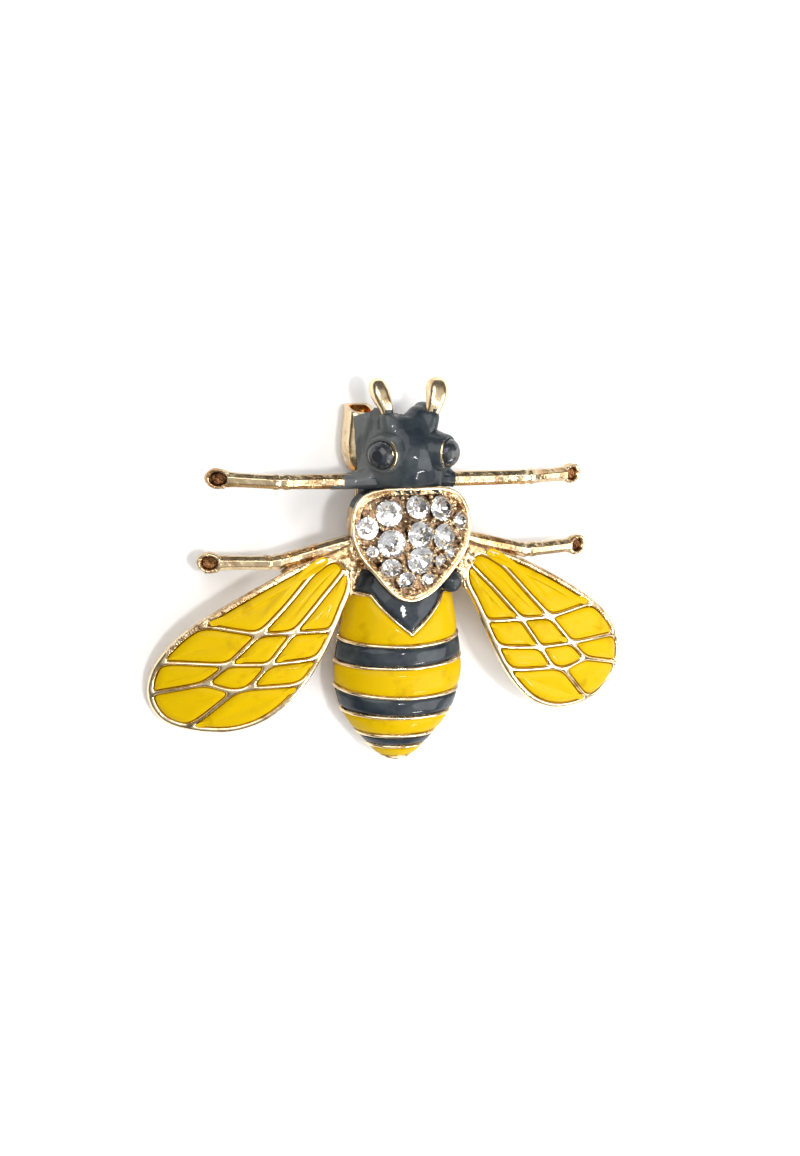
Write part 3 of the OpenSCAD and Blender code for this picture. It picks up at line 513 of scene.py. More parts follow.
def tube_rings(path, normals, radii, count=8, closed=False):
    """Rings round the points of a path."""
    rings, n = [], len(path)
    angles = [2 * pi * k / count for k in range(count)]
    for i, (p, up, r) in enumerate(zip(path, normals, radii)):
        before = path[i - 1] if i or closed else p
        after = path[(i + 1) % n] if i < n - 1 or closed else p
        along = (after - before).normalized()
        side = along.cross(up).normalized()
        up = side.cross(along)
        rings.append([p + r * (cos(a) * up + sin(a) * side) for a in angles])
    return rings


def smooth_column(table, col, t):
    """Smooth value of one column of a table at share t of its first column."""
    i = 0
    while i < len(table) - 2 and t > table[i + 1][0]:
        i += 1
    b, c = table[i], table[i + 1]
    before, after = table[max(i - 1, 0)], table[min(i + 2, len(table) - 1)]
    h = c[0] - b[0]
    f = (t - b[0]) / h
    m = (c[col] - before[col]) / (c[0] - before[0]) * h
    n = (after[col] - b[col]) / (after[0] - b[0]) * h
    return (b[col] * (2 * f ** 3 - 3 * f * f + 1) + m * (f ** 3 - 2 * f * f + f)
            + c[col] * (3 * f * f - 2 * f ** 3) + n * (f ** 3 - f * f))


def turned_side(point, side):
    return Vector((side * point[0], point[1], point[2]))


# ---- wings

def wing_plan(i):
    return Vector((WING_ROOT_X + WING[i][0] * WING_REACH, WING_FRONT_Y - WING[i][1] * WING_SWEEP))


def mid_curve(i):
    """Point halfway between two rim points, on a smooth curve."""
    p = [wing_plan((i + k) % RIM_COUNT) for k in (-1, 0, 1, 2)]
    return (9 * (p[1] + p[2]) - p[0] - p[3]) / 16


WING_MIDDLE = Vector((WING_ROOT_X + 0.2 * WING_REACH, WING_FRONT_Y - 0.435 * WING_SWEEP))
WING_FAR = max((point(i) - WING_MIDDLE).length for point in (wing_plan, mid_curve)
               for i in range(RIM_COUNT))
WING_CENTRE = Vector((*WING_MIDDLE, -(1 - WING_T / WING_DOME_R)
                      * sqrt(WING_DOME_R ** 2 - WING_FAR ** 2) - 0.01))


def on_wing(point, side):
    """Bends a point of the flat chart, with its height over the face, onto the domed wing."""
    x, y, rise = point
    out = Vector((x, y)) - WING_MIDDLE
    up = Vector((*out, sqrt(max(1, WING_DOME_R ** 2 - out.length_squared)))) / WING_DOME_R
    return turned_side(WING_CENTRE + up * (WING_DOME_R + rise), side)


def wing_sheet(bm):
    """The flat chart: one face for each cell, with points along every side."""
    spots = {i: bm.verts.new((*wing_plan(i), -WING_T)) for i in range(len(WING))}
    halves = {(i, i + 1): bm.verts.new((*mid_curve(i), -WING_T)) for i in range(RIM_COUNT - 1)}
    for cell in CELLS:
        corners = []
        for a, b in zip(cell, cell[1:] + cell[:1]):
            corners.append(spots[a])
            if (a, b) in halves:
                corners.append(halves[a, b])
        bm.faces.new(reversed(corners))
    for limit in SIDE_LIMITS:
        long_ones = [e for e in bm.edges if e.calc_length() > limit]
        bmesh.ops.bisect_edges(bm, edges=long_ones, cuts=1)
    bm.normal_update()
    if sum(f.normal.z for f in bm.faces) < 0:
        bmesh.ops.reverse_faces(bm, faces=bm.faces)


def wing_blank():
    """The wing before it is bent: a slab with crowned veins and sunk cells."""
    bm = bmesh.new()
    wing_sheet(bm)
    top = only(bmesh.ops.extrude_face_region(bm, geom=bm.faces[:]), BMFace)
    for v in corners(top):
        v.co.z = 0
    face_outwards(bm)
    bmesh.ops.inset_region(bm, faces=top, thickness=RIM_W, use_even_offset=True, use_boundary=True)
    crowned = corners(top)
    bmesh.ops.inset_individual(bm, faces=top, thickness=VEIN_W / 2, use_even_offset=True)
    crowned -= corners(top)
    for v in crowned:
        v.co.z = sizes().vein_crown
    bmesh.ops.inset_individual(bm, faces=top, thickness=CELL_SLOPE, use_even_offset=True)
    for v in corners(top):
        v.co.z = -CELL_DEPTH
    return bm, top


def rough_rim(face):
    """The leading rim and the knuckle at its middle keep the marks of the mould."""
    p = face.calc_center_median()
    share = ((p.x - WING_ROOT_X) / WING_REACH, (WING_FRONT_Y - p.y) / WING_SWEEP)
    return p.z > -CELL_DEPTH + 0.05 and share[1] < 0.62 * share[0] - 0.03


def make_wing(side, word):
    bm, floors = wing_blank()
    fills = [[(v.co.x, v.co.y) for v in f.verts] for f in floors]
    for face in bm.faces:
        face.material_index = int(rough_rim(face))
    for v in bm.verts:
        v.co = on_wing(v.co, side)
    face_outwards(bm)
    finish(bm, f"wing_frame_{word}", ["gold", "gold_rough"], rounded=True)
    for k, outline in enumerate(fills, 1):
        make_fill(outline, side, f"{word}_{k:02d}")


def make_fill(outline, side, word):
    """One filled cell: the enamel swells from its edges to a rounded middle."""
    bm = bmesh.new()
    face = bm.faces.new([bm.verts.new((x, y, GAP - CELL_DEPTH)) for x, y in outline])
    bm.normal_update()
    if face.normal.z < 0:
        face.normal_flip()
    top = only(bmesh.ops.extrude_face_region(bm, geom=[face]), BMFace)
    for v in top[0].verts:
        v.co.z = FILL_EDGE_Z
    face_outwards(bm)
    narrow = min(1.0, sqrt(top[0].calc_area()) / WIDE_CELL)
    # The sides of the fill get the darker edge colour: painted shade where the enamel meets the
    # veins
    for face in bm.faces:
        face.material_index = int(face not in top)
    for width, rise in FILL_STEPS:
        bmesh.ops.inset_individual(bm, faces=top, thickness=width * narrow,
                                   depth=rise * sizes().swell)
    for v in bm.verts:
        v.co = on_wing(v.co, side)
    face_outwards(bm)
    finish(bm, f"wing_fill_{word}", ["yellow", "yellow_edge_shade"],
           [f"wing_enamel_{word}"], rounded=True)


# ---- abdomen

def abdomen_point(u, t, off):
    """Point of the dome at u across (-1 to 1) and t along (0 to 1), moved in by off."""
    half = smooth_column(ABDOMEN, 1, t) * ABDOMEN_W - off
    rise = smooth_column(ABDOMEN, 2, t) * ABDOMEN_H - off
    return Vector((half * sin(pi / 2 * u), ABDOMEN_FRONT_Y - ABDOMEN_LEN * t,
                   WAIST_Z + rise * cos(pi / 2 * u)))


def edge_t(k, u):
    """How far along the abdomen its edge k lies at u."""
    middle, left, right = EDGES[k]
    side = left if u < 0 else right
    bend = abs(u) ** 1.5 if k > 1 else min(1, abs(u) / 0.5)
    return middle + (side - middle) * bend


def rounded_off(share, soft):
    """How far the enamel falls away towards its edge, from 0 in the middle to 1."""
    near = min(share, 1 - share) / soft
    return 0.0 if near >= 1 else (1 - near) ** 2


def collar_bulge(u, s):
    """Height of the bulge on the right of the collar."""
    return 0.4 * exp(-((u - 0.62) / 0.16) ** 2 - ((s - 0.28) / 0.3) ** 2)


def make_band(k, name):
    """One enamel field of the abdomen: a grid laid over the body, then given its thickness."""
    bm = bmesh.new()
    rows = 10 if k < 2 else 7
    grid = bmesh.ops.create_grid(bm, x_segments=BAND_STEPS, y_segments=rows, size=0.5)["verts"]
    clear = (LINE_ROOM + GAP) / ABDOMEN_LEN
    for v in grid:
        u, s = 2 * (v.co.x + 0.5) - 1, 0.5 - v.co.y
        u = u * (1 - 2 * GAP / ABDOMEN_H)
        low, high = edge_t(k, u) + clear, edge_t(k + 1, u) - clear
        fall = max(rounded_off(s, 0.22), rounded_off((u + 1) / 2, 0.05))
        sunk = BAND_FALL * fall - BAND_SWELL * (1 - fall) - (collar_bulge(u, s) if k == 0 else 0)
        v.co = abdomen_point(u, low + (high - low) * s, sunk)
    for v in only(bmesh.ops.extrude_face_region(bm, geom=bm.faces[:]), BMVert):
        out = Vector((v.co.x, 0, (v.co.z - WAIST_Z) * 1.3))
        v.co -= out.normalized() * (ENAMEL_T - GAP) if out.length > 0.01 else Vector()
    face_outwards(bm)
    kind = "slate" if k % 2 == 0 else "yellow"
    finish(bm, name + "_fill", [kind], [name], sharp=50)


def make_beads():
    """Thin rounded gold lines along the edges between the abdomen fields."""
    bm = bmesh.new()
    shares = [i / 24 - 1 for i in range(49)]
    normals = [Vector((sin(pi / 2 * u), 0, cos(pi / 2 * u))) for u in shares]
    for k in range(1, len(EDGES)):
        path = [abdomen_point(u, edge_t(k, u), 0.02) for u in shares]
        wobble = [sizes().bead_radius * (1 + 0.25 * noise.noise(p * 1.4)) for p in path]
        skin(bm, tube_rings(path, normals, wobble))
    finish(bm, "abdomen_lines", ["gold"], sharp=60)


# ---- body

def node_copy(node):
    """A merged copy of a solid's mesh, in millimetres."""
    bm = bmesh.new()
    bm.from_mesh(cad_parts[node].data)
    bmesh.ops.scale(bm, vec=(PER_METRE,) * 3, verts=bm.verts)
    bmesh.ops.remove_doubles(bm, verts=bm.verts, dist=1e-3)
    return bm


def outside_body(p):
    """True beyond the core, where wings, legs, antennae, eye cups and catch take over."""
    limit = CORE_W if p.y > BELLY_Y else BELLY_W
    catch = p.x < CATCH_CUT_X and p.y > CATCH_Y and p.z < CATCH_TOP
    return abs(p.x) > limit or p.y > CORE_FRONT_Y or catch


def body_finish(p, steep):
    """The finish of a face: 0 rough gold, 1 slate, 2 dark stone floor, 3 darker brown on the
    shield's steep sides, which is painted shade.
    """
    head = p.y > HEAD_BACK_Y + 0.12 and p.z > WAIST_Z - 0.3 and p.x > SLATE_LEFT_X
    shoulder = p.y > SHOULDER_Y and p.x < -3 and steep and p.z < 5.2
    if head or shoulder:
        return 1
    y = p.y - SHIELD_Y
    deep = (p - SHIELD_CENTRE).length < SHIELD_DOME_R + 0.12
    wide = 1 if y > 0 else 1 - 0.62 * (-y / SHIELD_LEN) ** 1.3
    if deep and p.z > 3 and hypot(p.x / (SHIELD_W * wide), y / SHIELD_LEN) < 1:
        return 2
    # Steep sides of the shield plate get darker brown: painted shade
    return 3 if steep and p.z > 3.6 and abs(y) < SHIELD_LEN + 0.3 else 0


def make_body():
    """The core of the casting: belly, shield plate with its pockets, neck and head core."""
    bm = node_copy("casting")
    axes = Matrix.Identity(3)
    for axis, places in ((0, (-BELLY_W, -CORE_W, CORE_W, BELLY_W)),
                         (1, (BELLY_Y, CATCH_Y, CORE_FRONT_Y)), (0, (CATCH_CUT_X,)),
                         (2, (CATCH_TOP,)), (1, (SHOULDER_Y,))):
        for place in places:
            cut(bm, axes[axis] * place, axes[axis])
    gone = [f for f in bm.faces if outside_body(f.calc_center_median())]
    bmesh.ops.delete(bm, geom=gone, context="FACES")
    fill_holes(bm)
    cut(bm, *CHIN, drop=True)
    fill_holes(bm)
    for face in bm.faces:
        face.material_index = body_finish(face.calc_center_median(), abs(face.normal.z) < 0.5)
    finish(bm, "body_core", ["gold_rough", "slate", "stone_floor", "gold_brown_and_shade"], sharp=32)


def shield_outline():
    half = [Vector((x * SHIELD_W, y * SHIELD_LEN)) for x, y in SHIELD]
    full = half + [Vector((-p.x, p.y)) for p in half[-2:0:-1]]
    n, ring = len(full), []
    for i, p in enumerate(full):
        ring += [p, (9 * (p + full[(i + 1) % n]) - full[i - 1] - full[(i + 2) % n]) / 16]
    return ring


def on_shield(x, y, rise):
    """Point over the domed shield floor and the way that the floor faces there."""
    up = Vector((x, y, sqrt(SHIELD_DOME_R ** 2 - x * x - y * y))) / SHIELD_DOME_R
    return SHIELD_CENTRE + up * (SHIELD_DOME_R + rise), up


def make_shield_rim():
    """The rounded edge of the shield."""
    bm = bmesh.new()
    spots = [on_shield(*p * RIM_SHARE, RIM_RISE) for p in shield_outline()]
    path, ups = zip(*spots)
    wobble = [sizes().rim_radius * (1 + 0.3 * noise.noise(p * 0.9)) for p in path]
    skin(bm, tube_rings(path, ups, wobble, 10, True), closed=True)
    finish(bm, "shield_rim", ["gold"], sharp=60)


def make_grains():
    """Small rounded grains of metal pushed over the edges of the stones."""
    bm = bmesh.new()
    stones = [(x * SHIELD_W, y * SHIELD_LEN, r) for x, y, r in STONES]
    spots = [(x * SHIELD_W, y * SHIELD_LEN, 1.0) for x, y in GRAINS]
    for i, (x, y, r) in enumerate(stones):
        for k in range(CLAWS):
            angle = 2 * pi * k / CLAWS + 1.3 * i
            a, b = x + (r + 0.12) * cos(angle), y + (r + 0.12) * sin(angle)
            if all(hypot(a - p, b - q) > size + 0.05 for p, q, size in stones):
                spots.append((a, b, CLAW_SIZE))
    for i, (x, y, share) in enumerate(spots):
        spot, up = on_shield(x, y, STONE_RISE + 0.08)
        made = bmesh.ops.create_icosphere(bm, subdivisions=2, radius=sizes().grain_radius)["verts"]
        size = share * (0.9 + 0.4 * noise.noise(Vector((i * 1.7, 0.3, 0))))
        put(bm, made, (size, size, 1.4), up.to_track_quat("Z", "Y").to_matrix(), spot)
    finish(bm, "stone_grains", ["gold"])


def lump(bm, place, size, rough, seed):
    """A ball, made uneven and drawn out to a size."""
    made = bmesh.ops.create_icosphere(bm, subdivisions=4, radius=1)["verts"]
    for v in made:
        push = noise.fractal(v.co * 1.7 + Vector((seed, 0, 0)), 0.7, 2.0, 4)
        v.co *= 1 + rough * push
    bmesh.ops.scale(bm, vec=size, verts=made)
    bmesh.ops.translate(bm, vec=place, verts=made)


def make_roots():
    """The rough metal where each wing and second leg is joined to the body."""
    for side, word in SIDES:
        bm = bmesh.new()
        for place, size, rough, seed in ROOT_LUMPS:
            lump(bm, turned_side(place, side), size, rough, seed + side)
        finish(bm, f"wing_root_{word}", ["gold_rough"])


def make_knob():
    """The round slate knob in its thin gold lip, between the collar and the right wing."""
    bm = bmesh.new()
    lump(bm, KNOB - Vector((0, 0, 0.3)), (1.15, 1.15, 0.8), 0.04, 2)
    lip = len(bm.faces)
    lump(bm, KNOB, (1, 1, 0.8), 0.06, 6)
    bm.faces.ensure_lookup_table()
    for face in bm.faces[lip:]:
        face.material_index = 1
    finish(bm, "shoulder_knob_right", ["gold", "slate"])


# ---- legs

def leg_rings(reach, root, knee, foot, side):
    """Eight-sided rings of a leg. Its root, knee and foot are pairs of y and z."""
    rings, angles = [], [radians(45 * k + 22.5) for k in range(8)]
    for out, down, width in LEG:
        lift = min(1, (out - LEG[0][0]) / KNEE_SHARE)
        start, end, share = (root, knee, lift) if down < 0 else (knee, foot, down)
        y, z = (a + (b - a) * share for a, b in zip(start, end))
        x, r = side * out * reach, width * LEG_W / 2
        rings.append([Vector((x, y + r * cos(a), z + r * sin(a))) for a in angles])
    return rings


def foot_cup(bm, place, side):
    """The foot: a small cup with a thick beaded lip and a pitted floor."""
    verts = [bm.verts.new((x, 0, z)) for x, z in FOOT_CUP]
    edges = [bm.edges.new(pair) for pair in zip(verts, verts[1:])]
    bmesh.ops.spin(bm, geom=verts + edges, cent=(0, 0, 0), axis=(0, 0, 1), angle=2 * pi,
                   steps=20, use_merge=True)
    bmesh.ops.remove_doubles(bm, verts=[v for v in bm.verts if not v.tag], dist=1e-4)
    cup = [v for v in bm.verts if not v.tag]
    for v in cup:
        v.co *= 1 + 0.12 * noise.noise(v.co * 1.9 + place)
    turn = Matrix.Rotation(side * radians(FOOT_TILT), 3, "Y")
    put(bm, cup, FOOT_SIZE, turn, place)
    for face in {f for v in cup for f in v.link_faces}:
        p = turn.inverted() @ (face.calc_center_median() - place)
        face.material_index = 1 if hypot(p.x / 1.2, p.y) < PIT_R and p.z > -0.2 else 0
    for k in range(FOOT_BEADS):
        angle = 2 * pi * k / FOOT_BEADS + place.x
        bead = Vector((0.98 * cos(angle), 0.74 * sin(angle), 0.36))
        made = bmesh.ops.create_icosphere(bm, subdivisions=2, radius=0.16 + 0.07 * sin(5 * k))
        bmesh.ops.translate(bm, vec=turn @ bead + place, verts=made["verts"])


def make_leg(word, side, reach, root, knee, foot, dark_to=0.0):
    """One leg. It is slate out to dark_to from the middle line."""
    bm = bmesh.new()
    skin(bm, leg_rings(reach, root, knee, foot, side))
    for v in bm.verts:
        v.tag = True
    foot_cup(bm, Vector((side * FOOT_SHARE * reach, foot[0], foot[1] + 0.12)), side)
    face_outwards(bm)
    cut(bm, (side * dark_to, 0, 0), (1, 0, 0))
    for face in bm.faces:
        p = face.calc_center_median()
        if abs(p.x) < dark_to and (p.y < LEG_Y + 0.55 or p.x > 0):
            face.material_index = 2
    finish(bm, f"leg_{word}", ["gold_leg", "gold_pit", "slate"], sharp=35,
           edge=sizes().leg_edge)


def make_leg_webs():
    """Rough metal that fills the angle between each second leg and the wing behind it."""
    for side, word in SIDES:
        bm = bmesh.new()
        path = [turned_side(place, side) for place, _ in WEB]
        rings = tube_rings(path, [Vector((0, 0, 1))] * len(path), [r for _, r in WEB], 12)
        for ring in rings:
            for p in ring:
                p += Vector((0, 0.14, 0.14)) * noise.noise(p * 1.6)
        skin(bm, rings)
        finish(bm, f"leg_web_{word}", ["gold_brown_and_shade"], rounded=True)


def make_legs():
    back = SHIELD_Y - SECOND_LEG_BACK
    for side, word in SIDES:
        skew = -side * FRONT_LEG_SKEW
        make_leg(f"front_{word}", side, FRONT_LEG_REACH, (LEG_Y, KNEE_Z + 0.3),
                 (LEG_Y + skew / 2, KNEE_Z), (LEG_Y + skew, FOOT_Z), SLATE_REACH[side])
        make_leg(f"second_{word}", side, SECOND_LEG_REACH, (SHIELD_Y + 0.9, KNEE_Z + 0.5),
                 (back, KNEE_Z - 0.7), (back, FOOT_Z))
    make_leg_webs()


# ---- head

def make_antennae():
    """The antennae: the right one is thicker, and both have a flattened upper side."""
    for side, word in SIDES:
        bm = bmesh.new()
        x, z, size = side * ANTENNA_X, WAIST_Z + 0.5 * HEAD_H, 1.24 if side > 0 else 1.04
        path = [Vector((x * a, HEAD_FRONT_Y + b, z + c)) for a, b, c, _ in ANTENNA]
        radii = [size * ANTENNA_R * r for *_, r in ANTENNA]
        rings = tube_rings(path, [Vector((0, 0.3, 1))] * len(path), radii, 14)
        for ring, centre in zip(rings, path):
            for k in (0, 1, 13):
                ring[k] = centre + (ring[k] - centre) * (0.8 if k == 0 else 0.95)
        skin(bm, rings)
        finish(bm, f"antenna_{word}", ["gold"], rounded=True)


def eye_shapes(side):
    """An eye's collar (gold towards the head's middle), its risen enamel and its cut stone."""
    cup, socket, stone = (bmesh.new() for _ in range(3))
    skin(cup, [circle(EYE_R + r, z, 40) for r, z in EYE_CUP])
    for face in cup.faces:
        face.material_index = int(side * face.calc_center_median().x > -0.9)
    skin(socket, [circle(EYE_R + r, z, 40) for r, z in EYE_SOCKET], closed=True)
    skin(stone, [circle(r, z, 16, 0.5 * (i % 2)) for i, (r, z) in enumerate(EYE_STONE)])
    bmesh.ops.triangulate(stone, faces=[f for f in stone.faces if len(f.verts) == 4])
    turn = Matrix.Rotation(side * radians(EYE_TILT), 4, "Y")
    spot = Matrix.Translation((side * EYE_X, HEAD_BACK_Y + 0.48 * HEAD_LEN, EYE_Z))
    for bm in (cup, socket, stone):
        bmesh.ops.transform(bm, matrix=spot @ turn, verts=bm.verts)
    return cup, socket, stone


def make_eyes():
    cups, sockets, stones = zip(*(eye_shapes(side) for side, _ in SIDES))
    for (_, word), bm in zip(SIDES, cups):
        finish(bm, f"eye_cup_{word}", ["gold", "slate"], sharp=40)
    for (_, word), bm in zip(SIDES, sockets):
        finish(bm, f"eye_socket_{word}", ["slate"], ["head_enamel"])
    for (_, word), bm in zip(SIDES, stones):
        finish(bm, f"eye_stone_{word}", ["eye"], [f"eye_{word}"], 3, 0.02)


def settled(p):
    """Where a point of the head's enamel ends up once the enamel has run and set."""
    x, y, z = p
    over_catch = CATCH_H < z < CATCH_H + 0.5
    if x < -3 and over_catch:
        x -= 0.09 * (y - CATCH_Y) if x < -3.9 else 0
        y = HEAD_FRONT_Y - 0.8 - 0.12 * (x + 4) if y > HEAD_FRONT_Y - 0.5 else y
    elif x < SLATE_LEFT_X:
        y, z = LEG_Y + 0.75 * (y - LEG_Y) - 0.15, KNEE_Z + 0.9 * (z - KNEE_Z)
    elif -1.7 < x < -0.2 and y > HEAD_FRONT_Y - 0.6:
        y = HEAD_FRONT_Y - 0.6 + 0.35 * (y - HEAD_FRONT_Y + 0.6)
    elif x > SLATE_RIGHT_X:
        x = SLATE_RIGHT_X + 0.3 * (x - SLATE_RIGHT_X)
    elif x > 0.5:
        x *= 1 - 0.13 * exp(-((y - 12) / 0.9) ** 2) - 0.05 * (y > 12.5)
    return Vector((x, y, z))


def make_head_enamel():
    """The slate enamel of the head, melted smooth over its solid."""
    bm = node_copy("head_enamel")
    for v in bm.verts:
        v.co = settled(v.co)
    for place, size in HEAD_LUMPS:
        lump(bm, Vector(place) + Vector((0, HEAD_FRONT_Y, 0)), size, 0, 0)
    piece = finish(bm, "head_fill", ["slate"], ["head_enamel"])
    remesh = piece.modifiers.new("Melt", "REMESH")
    remesh.mode, remesh.use_smooth_shade = "VOXEL", True
    remesh.voxel_size = MELT_GRAIN / PER_METRE
    soften = piece.modifiers.new("Soften", "SMOOTH")
    soften.factor, soften.iterations = 0.5, 14


def blunt(value):
    """Pulls a circle out towards a square with round corners."""
    return (abs(value) ** 0.55) * (1 if value >= 0 else -1)


def catch_ring(y, w, h, shift):
    """A blunt ring round the middle of the catch, of half width w and half height h."""
    angles = [2 * pi * k / 24 for k in range(24)]
    return [Vector((CATCH_X + shift + w * blunt(cos(a)), y, CATCH_MID_Z + h * blunt(sin(a))))
            for a in angles]


def make_catch():
    """The bent gold band of the pin catch, open at both ends."""
    bm = bmesh.new()
    back, wall = HEAD_FRONT_Y - CATCH_LEN, CATCH_WALL - 0.12
    rings = []
    for inset, band in ((0, CATCH_BAND), (wall, CATCH_BAND[::-1])):
        w = CATCH_W / 2 - 0.1 - inset
        rings += [catch_ring(back + y, w + out / 2, CATCH_MID_Z * h - inset, -out / 2)
                  for y, out, h in band]
    skin(bm, rings, closed=True)
    bm.normal_update()
    for face in bm.faces:
        p = face.calc_center_median()
        inner = wall < p.z < CATCH_H - wall and abs(p.x - CATCH_X + 0.2) < CATCH_W / 2 - 0.12
        face.material_index = int(inner and abs(face.normal.y) < 0.7)
    for v in bm.verts:
        high, across = v.co.z / CATCH_H, (v.co.x - CATCH_X) / CATCH_W + 0.5
        end = max(0.0, min(1.0, (v.co.y - HEAD_FRONT_Y + 0.9) / 0.9))
        v.co.y -= end * high * (0.5 + 0.35 * across)
    finish(bm, "pin_catch", ["gold", "amber"], sharp=45)


# ---- stones

def make_stone(i):
    """A faceted stone: clear above its girdle, foil under it."""
    name = f"stone_{i:02d}"
    bm = node_copy(name)
    bmesh.ops.dissolve_limit(bm, angle_limit=radians(2), verts=bm.verts, edges=bm.edges)
    x, y, _ = STONES[i - 1]
    spot, up = on_shield(x * SHIELD_W, y * SHIELD_LEN, STONE_RISE)
    for v in bm.verts:
        v.co = spot + (v.co - spot) * sizes().stone_fill
    bm.normal_update()
    for face in bm.faces:
        face.material_index = int(face.normal.dot(up) < -0.2)
    piece = finish(bm, f"{name}_cut", ["crystal", "foil"], [name])
    for polygon in piece.data.polygons:
        polygon.use_smooth = False


# ---- operators

class BROOCH_OT_wings(bpy.types.Operator):
    """Makes both wings with their veins and filled cells"""
    bl_idname = "brooch.wings"
    bl_label = "Wings"

    def execute(self, context):
        for side, word in SIDES:
            make_wing(side, word)
        return {"FINISHED"}


class BROOCH_OT_abdomen(bpy.types.Operator):
    """Makes the enamel bands of the abdomen and the gold lines between them"""
    bl_idname = "brooch.abdomen"
    bl_label = "Abdomen"

    def execute(self, context):
        for k, name in enumerate(BANDS):
            make_band(k, name)
        make_beads()
        return {"FINISHED"}


class BROOCH_OT_body(bpy.types.Operator):
    """Makes the core of the casting, the shield rim, the wing roots and the slate knob"""
    bl_idname = "brooch.body"
    bl_label = "Body"

    def execute(self, context):
        make_body()
        make_shield_rim()
        make_roots()
        make_knob()
        return {"FINISHED"}


class BROOCH_OT_legs(bpy.types.Operator):
    """Makes the four legs with their knees and feet, and the metal behind the second ones"""
    bl_idname = "brooch.legs"
    bl_label = "Legs"

    def execute(self, context):
        make_legs()
        return {"FINISHED"}


class BROOCH_OT_head(bpy.types.Operator):
    """Makes the head enamel, the antennae and the eyes with their cups and sockets"""
    bl_idname = "brooch.head"
    bl_label = "Head"

    def execute(self, context):
        make_head_enamel()
        make_antennae()
        make_eyes()
        return {"FINISHED"}


class BROOCH_OT_pin(bpy.types.Operator):
    """Makes the catch and finishes the pin at the back"""
    bl_idname = "brooch.pin"
    bl_label = "Pin and catch"

    def execute(self, context):
        make_catch()
        give_coat("back_pin", "gold")
        return {"FINISHED"}


class BROOCH_OT_stones(bpy.types.Operator):
    """Makes the clear stones and the grains that hold them"""
    bl_idname = "brooch.stones"
    bl_label = "Stones"

    def execute(self, context):
        for i in range(1, len(STONES) + 1):
            make_stone(i)
        make_grains()
        return {"FINISHED"}


def give_coat(node, name):
    """A solid whose shape is right stays and gets its finish."""
    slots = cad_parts[node].material_slots
    if not slots:
        raise RuntimeError(f"{node} has no material slot")
    for slot in slots:
        slot.material = coat(name)


# ---- stage

# Where the photo was taken from, in metres, and the way back from the object to there
LOOK_FROM = Vector((-0.0736, 0.0429, 0.2047))
LOOK_BACK = Vector((-0.3345, 0.2079, 0.9192)).normalized()
LENS, SHIFT_X, SHIFT_Y, ROLL = 77.42, 3 / 1156, 22 / 1156, radians(1)
# Lights that face the brooch: name, place and size in metres, power in watts
LIGHTS = (
    ("window", (-0.25, 0.3, 0.45), (0.5, 0.4), 1.6),
    ("bounce", (0.4, -0.1, 0.35), (0.45, 0.45), 2.3),
    ("glint", (0.28, -0.42, 0.33), (0.13, 0.06), 1.2),
    ("lamp", (0.06, 0.04, 0.5), (0.06, 0.06), 0.9),
)
# Brightness of the studio, from the horizon (0) to straight above (1)
STUDIO = ((0.0, 0.55), (0.15, 0.12), (0.5, 0.2), (0.75, 0.75), (1.0, 0.95))


def make_floor():
    bm = bmesh.new()
    bmesh.ops.create_circle(bm, cap_ends=True, segments=96, radius=1.2)
    floor = mesh_object(bm, "floor")
    material, shader = new_material("floor paper", Roughness=0.9)
    tree, c = material.node_tree, colours().floor
    paper = ramp(tree, clouds(tree, 0.05), [(0, dimmed(c, PAPER_SHARE)), (1, c)])
    tree.links.new(paper, shader.inputs["Base Color"])
    floor.data.materials.append(material)


def make_light(name, place, size, power):
    light = bpy.data.lights.new(name, "AREA")
    light.shape, light.energy = "RECTANGLE", power
    light.size, light.size_y = size
    lamp = add_object(name, light)
    lamp.location = place
    lamp.rotation_euler = (-Vector(place)).to_track_quat("-Z", "Y").to_euler()


def make_camera():
    data = bpy.data.cameras.new("camera")
    data.lens, data.shift_x, data.shift_y = LENS, SHIFT_X, SHIFT_Y
    data.clip_start, data.clip_end = 0.01, 10
    camera = add_object("camera", data)
    up = (Vector((0, 1, 0)) - LOOK_BACK * LOOK_BACK.y).normalized()
    turn = Matrix((up.cross(LOOK_BACK), up, LOOK_BACK)).transposed().to_4x4()
    camera.matrix_world = Matrix.Translation(LOOK_FROM) @ turn @ Matrix.Rotation(ROLL, 4, "Z")
    bpy.context.scene.camera = camera


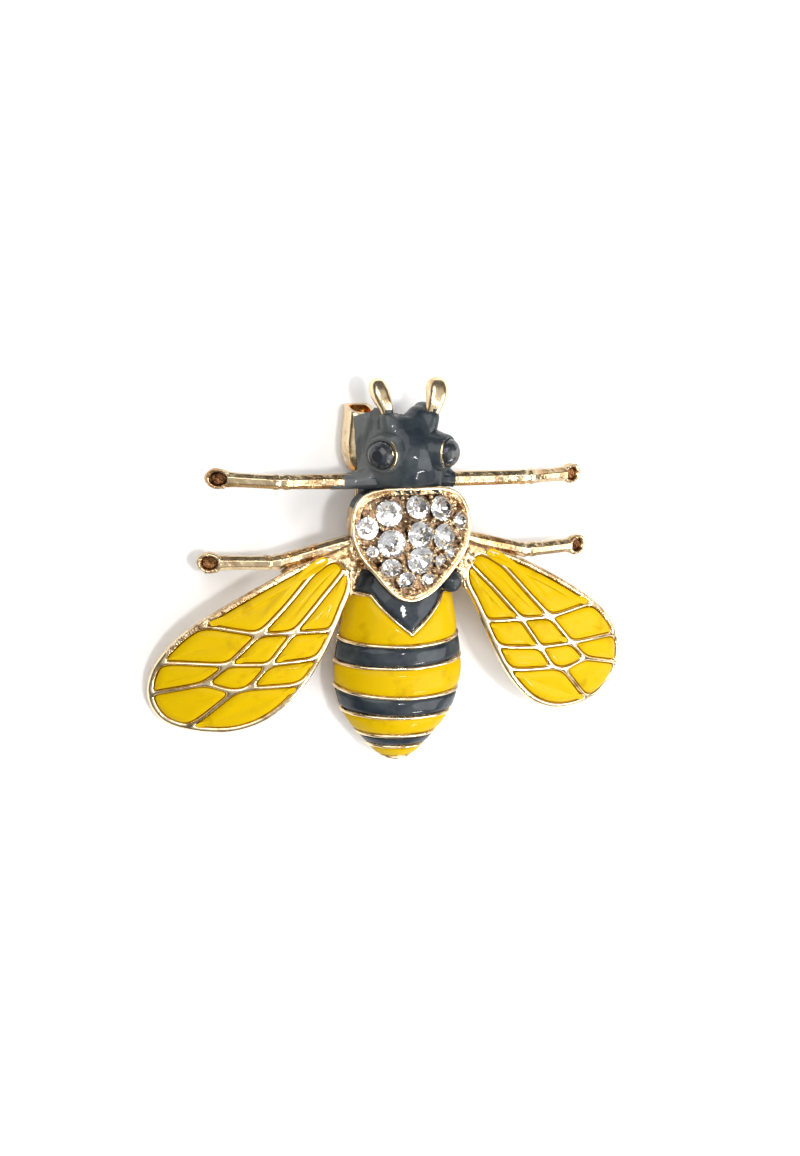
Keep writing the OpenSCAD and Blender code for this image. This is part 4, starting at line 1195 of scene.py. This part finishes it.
def make_world():
    world = bpy.data.worlds.new("studio")
    world.use_nodes = True
    tree = world.node_tree
    sky = tree.nodes["Background"]
    height = add_node(tree, "SeparateXYZ")
    tree.links.new(add_node(tree, "TexCoord").outputs["Generated"], height.inputs["Vector"])
    shade = ramp(tree, height.outputs["Z"], [(place, (level,) * 3) for place, level in STUDIO])
    tree.links.new(shade, sky.inputs["Color"])
    sky.inputs["Strength"].default_value = 0.8
    bpy.context.scene.world = world


class BROOCH_OT_stage(bpy.types.Operator):
    """Sets the floor, the soft lights and the camera"""
    bl_idname = "brooch.stage"
    bl_label = "Stage"

    def execute(self, context):
        make_floor()
        make_world()
        for light in LIGHTS:
            make_light(*light)
        make_camera()
        context.scene.view_settings.view_transform = "Standard"
        return {"FINISHED"}


OPERATORS = [BROOCH_OT_wings, BROOCH_OT_abdomen, BROOCH_OT_body, BROOCH_OT_legs,
             BROOCH_OT_head, BROOCH_OT_pin, BROOCH_OT_stones, BROOCH_OT_stage]


class BROOCH_PT_panel(bpy.types.Panel):
    """Lists the pieces of the brooch, its sizes and its colours"""
    bl_idname = "BROOCH_PT_panel"
    bl_label = "Bee Brooch"
    bl_space_type = "VIEW_3D"
    bl_region_type = "UI"
    bl_category = "Bee Brooch"

    def draw(self, context):
        for operator in OPERATORS:
            self.layout.operator(operator.bl_idname)
        for group in (context.scene.brooch_sizes, context.scene.brooch_colours):
            for name in group.bl_rna.properties.keys():
                if name not in ("rna_type", "name"):
                    self.layout.prop(group, name)


CLASSES = [BroochSizes, BroochColours, *OPERATORS, BROOCH_PT_panel]


def register():
    for one in CLASSES:
        bpy.utils.register_class(one)
    bpy.types.Scene.brooch_sizes = PointerProperty(type=BroochSizes)
    bpy.types.Scene.brooch_colours = PointerProperty(type=BroochColours)


def unregister():
    del bpy.types.Scene.brooch_colours
    del bpy.types.Scene.brooch_sizes
    for one in reversed(CLASSES):
        bpy.utils.unregister_class(one)


def main():
    register()
    bpy.ops.brooch.wings()
    bpy.ops.brooch.abdomen()
    bpy.ops.brooch.body()
    bpy.ops.brooch.legs()
    bpy.ops.brooch.head()
    bpy.ops.brooch.pin()
    bpy.ops.brooch.stones()
    bpy.ops.brooch.stage()


if __name__ == "__main__":
    main()
